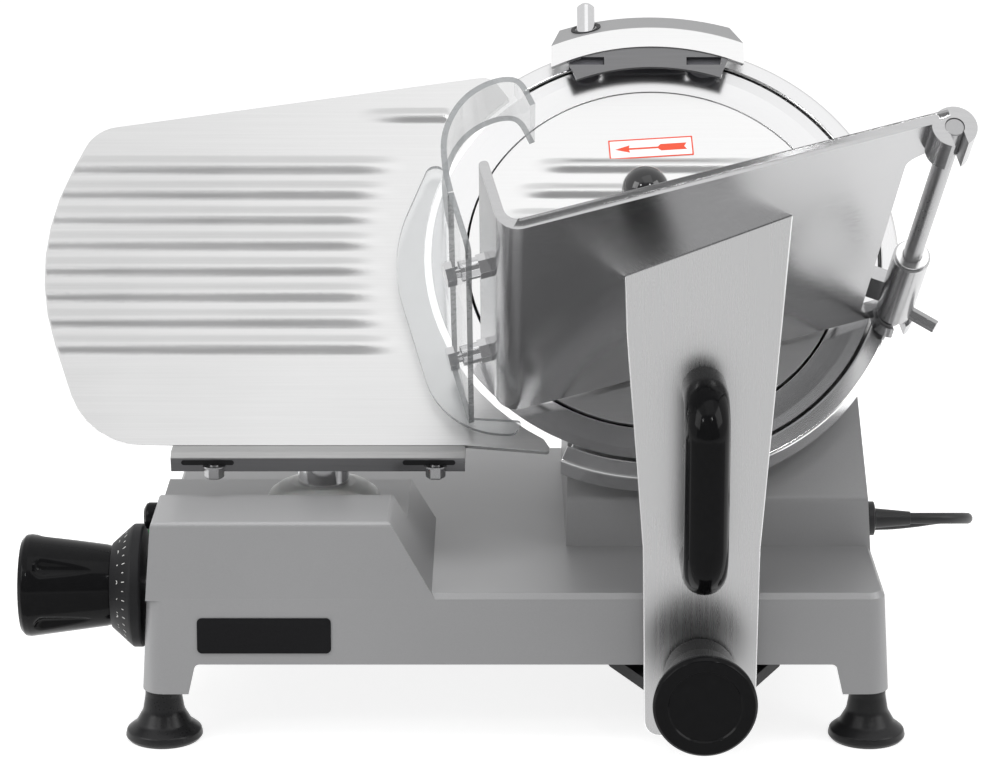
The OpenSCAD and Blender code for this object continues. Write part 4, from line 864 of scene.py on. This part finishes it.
# %% Dial numbers
def flat_text(words, size):
    curve = bpy.data.curves.new("dial_number", "FONT")
    curve.body = words
    curve.size = size
    curve.align_x = curve.align_y = "CENTER"
    curve.extrude = 0.05
    source = bpy.data.objects.new("dial_number", curve)
    scene.collection.objects.link(source)
    return evaluated_mesh(source)


ON_CONE = Matrix.Translation((26.4, 0, 3.95)) @ turn(-DIAL_SLOPE, "Y") @ turn(90, "Z")
numbers = []
for value in range(15):
    mesh = flat_text(str(value), 4.8)
    mesh.transform(DIAL @ Matrix.Scale(MM, 4) @ turn(DIAL_FIRST + DIAL_STEP * value, "Z") @ ON_CONE)
    numbers.append(mesh)
dress(piece_from("dial_numbers", joined("dial_numbers", numbers), WHITE_INK), "dial", "white_nylon")
print("dial numbers:", len(numbers))

# %% [markdown]
# ## Marks on the cover and the base
# A small label on the cover shows with an arrow which way the blade turns, and a bare black plate is fixed to the
# front of the base. Both are thin slips of their own, a few tenths of a millimetre thick.


# %% Thin slips
def slip(name, outline, low, high, place, material, holes=()):
    """A thin plate from an outline in millimetres, between two heights."""
    shape = bmesh.new()
    loops = []
    for loop in (outline, *holes):
        verts = [shape.verts.new((x, y, high)) for x, y in loop]
        loops.append([shape.edges.new((a, b)) for a, b in zip(verts, verts[1:] + verts[:1])])
    bmesh.ops.triangle_fill(shape, use_beauty=True, edges=[e for loop in loops for e in loop], normal=(0, 0, 1))
    top = bmesh.ops.extrude_face_region(shape, geom=shape.faces[:])
    moving = [v for v in top["geom"] if isinstance(v, bmesh.types.BMVert)]
    bmesh.ops.translate(shape, vec=(0, 0, low - high), verts=moving)
    return piece_from(name, mesh_of(name, shape, place), material)


def round_rect(half_x, half_y, r, steps=6):
    out = []
    for cx, cy, a0 in ((1, 1, 0), (-1, 1, 90), (-1, -1, 180), (1, -1, 270)):
        for k in range(steps + 1):
            a = math.radians(a0 + 90 * k / steps)
            out.append((cx * (half_x - r) + r * math.cos(a), cy * (half_y - r) + r * math.sin(a)))
    return out


LABEL = BLADE @ moved(-0.7, 68.6, COVER_FACE) @ turn(3.9, "Z")
LABEL_EDGE = round_rect(24, 6.2, 0.4)
ARROW = [(-20.5, 0), (-12, 2.4), (-12.6, 0.55), (4, 0.55), (5.6, 2.1), (20.5, 2.1), (18.9, 0), (20.5, -2.1),
         (5.6, -2.1), (4, -0.55), (-12.6, -0.55), (-12, -2.4)]
dress(slip("turn_label", LABEL_EDGE, 0, 0.14, LABEL, LABEL_WHITE), "base", "white_nylon")
border = slip("turn_label_border", LABEL_EDGE, 0.02, 0.2, LABEL, LABEL_RED, [round_rect(23.2, 5.4, 0.3)])
dress(border, "base", "red_plastic")
dress(slip("turn_label_arrow", ARROW, 0.02, 0.2, LABEL, LABEL_RED), "base", "red_plastic")
FRONT = moved(-116.2, -97.72, 65.5) @ turn(90 - 3.5, "X")
dress(slip("front_plate", round_rect(35.8, 9.7, 2.6), -0.4, 0.7, FRONT, PRINTED_BLACK), "base", "black_gloss")

# %% [markdown]
# ### Painted shade in the hole of the sharpener pin
# The pin comes out of the sharpener's hood through a hole, and the shade in that hole is painted as a black ring that
# lies on the hood's slope. The pin leans to that slope, so the hole is an oval.


# %% Painted shade of the pin's hole
def oval(half_x, half_y, steps=40):
    angles = [2 * math.pi * k / steps for k in range(steps)]
    return [(half_x * math.cos(a), half_y * math.sin(a)) for a in angles]


HOOD_R, HOOD_SLOPE, PIN_U, PIN_W = 140, 17.5 / 18, -37, 1.5
seat_r = HOOD_R + (HOOD_FRONT - PIN_W) * HOOD_SLOPE
seat_v = math.sqrt(seat_r ** 2 - PIN_U ** 2)
outward = Vector((PIN_U / seat_r, seat_v / seat_r, HOOD_SLOPE))
PIN_SEAT = BLADE @ moved(PIN_U, seat_v, PIN_W) @ outward.to_track_quat("Z", "Y").to_matrix().to_4x4()
# A black ring on the hood's slope stands for the shade in the pin's hole: painted shade.
hole_shade = slip("pin_hole_painted_shade", oval(8.6, 10.2), -0.4, 0.45, PIN_SEAT, MATTE, [oval(6.3, 9.0)])
dress(hole_shade, "base", "black_matte")

# %% [markdown]
# ### Web of the tray's hook
# A small web closes the corner between the tray's flange and the hook that holds the pusher's rod.

# %% Hook web
HOOK_WEB = [(130.7, -31.7), (132.4, -31.0), (133.6, -30.2), (134.8, -29.4), (137.4, -28.7), (139.4, -29.1),
            (139.3, -32.6), (137.6, -34.0), (135.8, -36.0), (131.6, -34.5)]
WEB_LOW, WEB_HIGH = 210.0, 216.9
dress(slip("hook_web", HOOK_WEB, WEB_LOW, WEB_HIGH, BLADE, TRAY_BRIGHT), "carriage", "polished_aluminium")

# %% [markdown]
# ## Bar and bolts under the plate
# The gauge plate stands on a sawn bar whose front edge is split in two: an upper face and a lower one that leans
# back, with a slot for each bolt. The faces that face down, the lower one among them, are painted darker as painted
# shade, and the shade in each slot is a thin black slip. Two hexagon bolts hold the plate to it. A tree puts a
# chamfered head and a washer at each point, so that one pair of sizes serves them all.


# %% Gauge bar
def closed_outline(corners, steps=16):
    """A closed outline with the fillet that each corner names."""
    return filleted([corners[-1], *corners, corners[0]], steps)[1:-1]


ALONG_X = Matrix(((0, 0, 1, 0), (1, 0, 0, 0), (0, 1, 0, 0), (0, 0, 0, 1)))
BAR_ENDS = (-168.8, -9.1)
BAR_SECTION = [(-46.4, 149.4, 0.7), (-42.4, 151.9, 0.7), (6.7, 151.9, 0.6), (6.7, 142.1, 0.6), (-42.2, 142.1, 0.4),
               (-43.6, 140.6, 0.4)]
bar = slip("gauge_bar_sawn", closed_outline(BAR_SECTION, 4), *BAR_ENDS, ALONG_X, BAR_SAWN)
# The faces that face down take the darker zinc finish: painted shade.
bar.data.materials.append(ZINC)
for face in bar.data.polygons:
    face.material_index = int(face.normal.z < -0.1)
smooth_by_angle(bar.data)
dress(bar, "gauge", "cast_aluminium", "gauge_bar")
BOLT_SEATS = [(-145.3, -44.5, 145), (-25.1, -44.5, 145)]
for side, seat in zip(("left", "right"), BOLT_SEATS):
    # A thin black slip stands for the shade inside the bar's slot: painted shade.
    slot_shade = slip("slot_painted_shade_" + side, round_rect(14.3, 1.6, 1.5), -0.2, 0.1,
                    moved(seat[0] - 3.5, -45.5, 146.5) @ turn(107.6, "X"), MATTE)
    dress(slot_shade, "gauge", "black_matte")


# %% Bolt tree
def bolt_tree(places):
    tree, size, node, _, maths = new_tree("hex_bolts", Across=5.4, Head=5.4, Washer=6.2)
    parts, spots = node("JoinGeometry"), node("JoinGeometry")
    for place in places:
        fill(tree, spots, Geometry=node("MeshLine", Count=1, Start_Location=place))

    def disc(sides, radius, depth, z, top=None):
        cone = node("MeshCone", Vertices=sides, Radius_Bottom=radius, Radius_Top=top or radius, Depth=depth)
        fill(tree, parts, Geometry=node("Transform", Geometry=cone, Translation=(0, 0, z)))

    thin = maths("MULTIPLY", size["Head"], 0.16)
    disc(6, maths("MULTIPLY", size["Across"], 0.86), thin, -7.3, size["Across"])
    disc(6, size["Across"], size["Head"], -6.45)
    disc(32, size["Washer"], thin, -1.05)
    disc(24, maths("MULTIPLY", size["Across"], 0.55), size["Head"], -5.0)
    return close_tree(tree, size, node("InstanceOnPoints", Points=spots, Instance=parts))


bolts = grown("gauge_bolt_heads", bolt_tree(BOLT_SEATS), Matrix.Identity(4), ROD_SATIN)
dress(bolts, "gauge", "bright_steel", "gauge_bolts")

# %% [markdown]
# ## Mains lead
# The lead leaves the right side through its gland, bends back and down, and the length that the picture does not
# show lies wound behind the slicer with a tie and its plug. The way is the same as the solid's, drawn smooth.

# %% Lead
LEAD_WAY = [
    (239, 1, 100.5), (248, 1, 100.5), (261, 4.3, 99.5), (270.5, 13.4, 96.7), (274, 25.8, 92.8), (270.5, 38.2, 89),
    (261, 47.3, 86), (248, 50.7, 83), (235, 54.2, 80.5), (225.5, 63.7, 77), (222.3, 76.7, 71.5), (222.5, 92, 63),
    (223.5, 108, 52.5), (225.5, 124, 41), (228, 140, 30), (230, 156, 21), (230.5, 172, 13.8), (228.5, 188, 8.8),
    (224.5, 203, 5.8), (218.6, 217, 4.6), (213.6, 229, 4.35), (212, 238, 4.3), (212, 244.5, 4.3),
]
COIL_MIDDLE = (168, 251)
COIL_OUT, COIL_PITCH, COIL_TURNS, COIL_LOW, COIL_LAYER, PLUG_HEIGHT = 44, 7, 5.25, 4.3, 6.9, 18
LEAD_D = 6.4


def ramp(s):
    s = min(max(s, 0), 1)
    return s * s * (3 - 2 * s)


def coil_point(angle):
    half = COIL_TURNS * 180
    r = COIL_OUT - COIL_PITCH * min(angle, 2 * half - angle) / 360
    z = COIL_LOW + COIL_LAYER * ramp((angle - half + 90) / 180)
    z += (PLUG_HEIGHT - COIL_LOW - COIL_LAYER) * ramp((angle - 2 * half + 200) / 200)
    a = math.radians(angle)
    return (COIL_MIDDLE[0] + r * math.cos(a), COIL_MIDDLE[1] + r * math.sin(a), z)


def through(points, parts=4):
    """A smooth line through the points, by Catmull and Rom's rule."""
    p = [Vector(q) for q in points]
    p = [2 * p[0] - p[1]] + p + [2 * p[-1] - p[-2]]
    out = []
    for i in range(1, len(p) - 2):
        for k in range(parts):
            t = k / parts
            out.append(0.5 * (2 * p[i] + (p[i + 1] - p[i - 1]) * t
                              + (2 * p[i - 1] - 5 * p[i] + 4 * p[i + 1] - p[i + 2]) * t * t
                              + (3 * p[i] - p[i - 1] - 3 * p[i + 1] + p[i + 2]) * t ** 3))
    return out + [p[-2]]


way = LEAD_WAY + [coil_point(a) for a in range(0, int(COIL_TURNS * 360) + 1, 15)]
way.append((COIL_MIDDLE[0] - LEAD_D, COIL_MIDDLE[1] + COIL_OUT, PLUG_HEIGHT))
lead_line = through(way)
lead = tube("mains_lead", lead_line, LEAD_D / 2, 4)
lead.data.materials.append(LEAD)
dress(lead, "base", "lead_rubber", "power_cord", "cord_coil")

# %% [markdown]
# ### Plug
# The plug is a turned body with a grip of raised rings and two round pins.

# %% Plug
PLUG = moved(COIL_MIDDLE[0] - LEAD_D, COIL_MIDDLE[1] + COIL_OUT, PLUG_HEIGHT) @ turn(-90, "Y")
plug_body = [(0, 0), (3.9, 0, 0.4)]
for k in range(7):
    h = 4 + 3.2 * k
    r = 4.2 + 2.6 * k / 6
    plug_body += [(r, h, 0.3), (r, h + 1.7, 0.3), (r - 0.7, h + 1.9, 0.2), (r - 0.6, h + 3.0, 0.2)]
plug_body += [(8, 29, 1), (11, 32, 1.5), (16.8, 36, 1.5), (17.4, 38, 1), (17.4, 60, 0.8), (16.5, 61.8, 0.6), (0, 61.9)]
plug_piece = turned("mains_plug_moulded", plug_body, PLUG, 64, LEAD)
dress(plug_piece, "base", "lead_rubber", "mains_plug")
PIN_PROFILE = [(0, 60), (2.4, 60), (2.4, 79.5, 1.2), (1.2, 81), (0, 81)]
pins = piece_from("plug_pins", joined("plug_pins", [
    lathe_mesh("pin", PIN_PROFILE, PLUG @ moved(0, y, 0), 24) for y in (-9.5, 9.5)]), CHROME)
dress(pins, "base", "bright_steel")

# %% [markdown]
# ## Clear guard
# The guard is made of clear sheet: a panel beside the fence, a curl over its near end and a crescent over the edge of
# the blade. The cut edges of clear sheet look dark from the light they bend, and that dark is painted on them as a grey
# finish of their own: painted shade.


# %% Clear guard
def ribbon(path, thickness):
    """The outline of a strip of one thickness along a path."""
    left, right = [], []
    for before, point, after in zip(path[:1] + path, path, path[1:] + path[-1:]):
        along = (after - before).normalized()
        off = Vector((-along.y, along.x)) * thickness / 2
        left.append(point + off)
        right.append(point - off)
    return left + right[::-1]


def sheet(outline, low, high, place, faces_are_edges=False):
    """One sheet of the guard; its cut edges take the second finish, which is painted shade."""
    part = slip("guard_sheet", outline, low, high, place, CLEAR)
    mesh = part.data
    bpy.data.objects.remove(part)
    axis = place.to_3x3() @ Vector((0, 0, 1))
    for face in mesh.polygons:
        face.material_index = int((abs(face.normal.dot(axis)) > 0.9) == faces_are_edges)
    return mesh


PANEL = [(-2.9, 7.1, 2), (30, 7.1, 2), (30, 216.9, 2), (-2.9, 216.9, 6)]
CURL = [(-17.5, 30), (-16.5, 42), (-13, 58), (-6, 70), (4, 79), (16, 83.6), (27, 83.6), (33, 79), (35.5, 66)]
CRESCENT = [(-74, -106, 2), (-78, -114, 6), (-118, -113, 45), (-149, -6, 90), (-122, 64, 6), (-116, 44, 4),
            (-113, -50, 20), (-102.9, -104.3, 2)]
guard = piece_from("clear_guard_sheet", joined("clear_guard_sheet", [
    sheet(closed_outline(PANEL), -19, -16, TRAY @ ALONG_X),
    sheet(ribbon(through(CURL, 6), 3), 177, 216.9, TRAY, True),
    sheet(closed_outline(CRESCENT, 24), 6, 9, BLADE)]), CLEAR, CLEAR_EDGE_PAINTED_SHADE)
dress(guard, "carriage", "clear_plastic", "clear_guard")
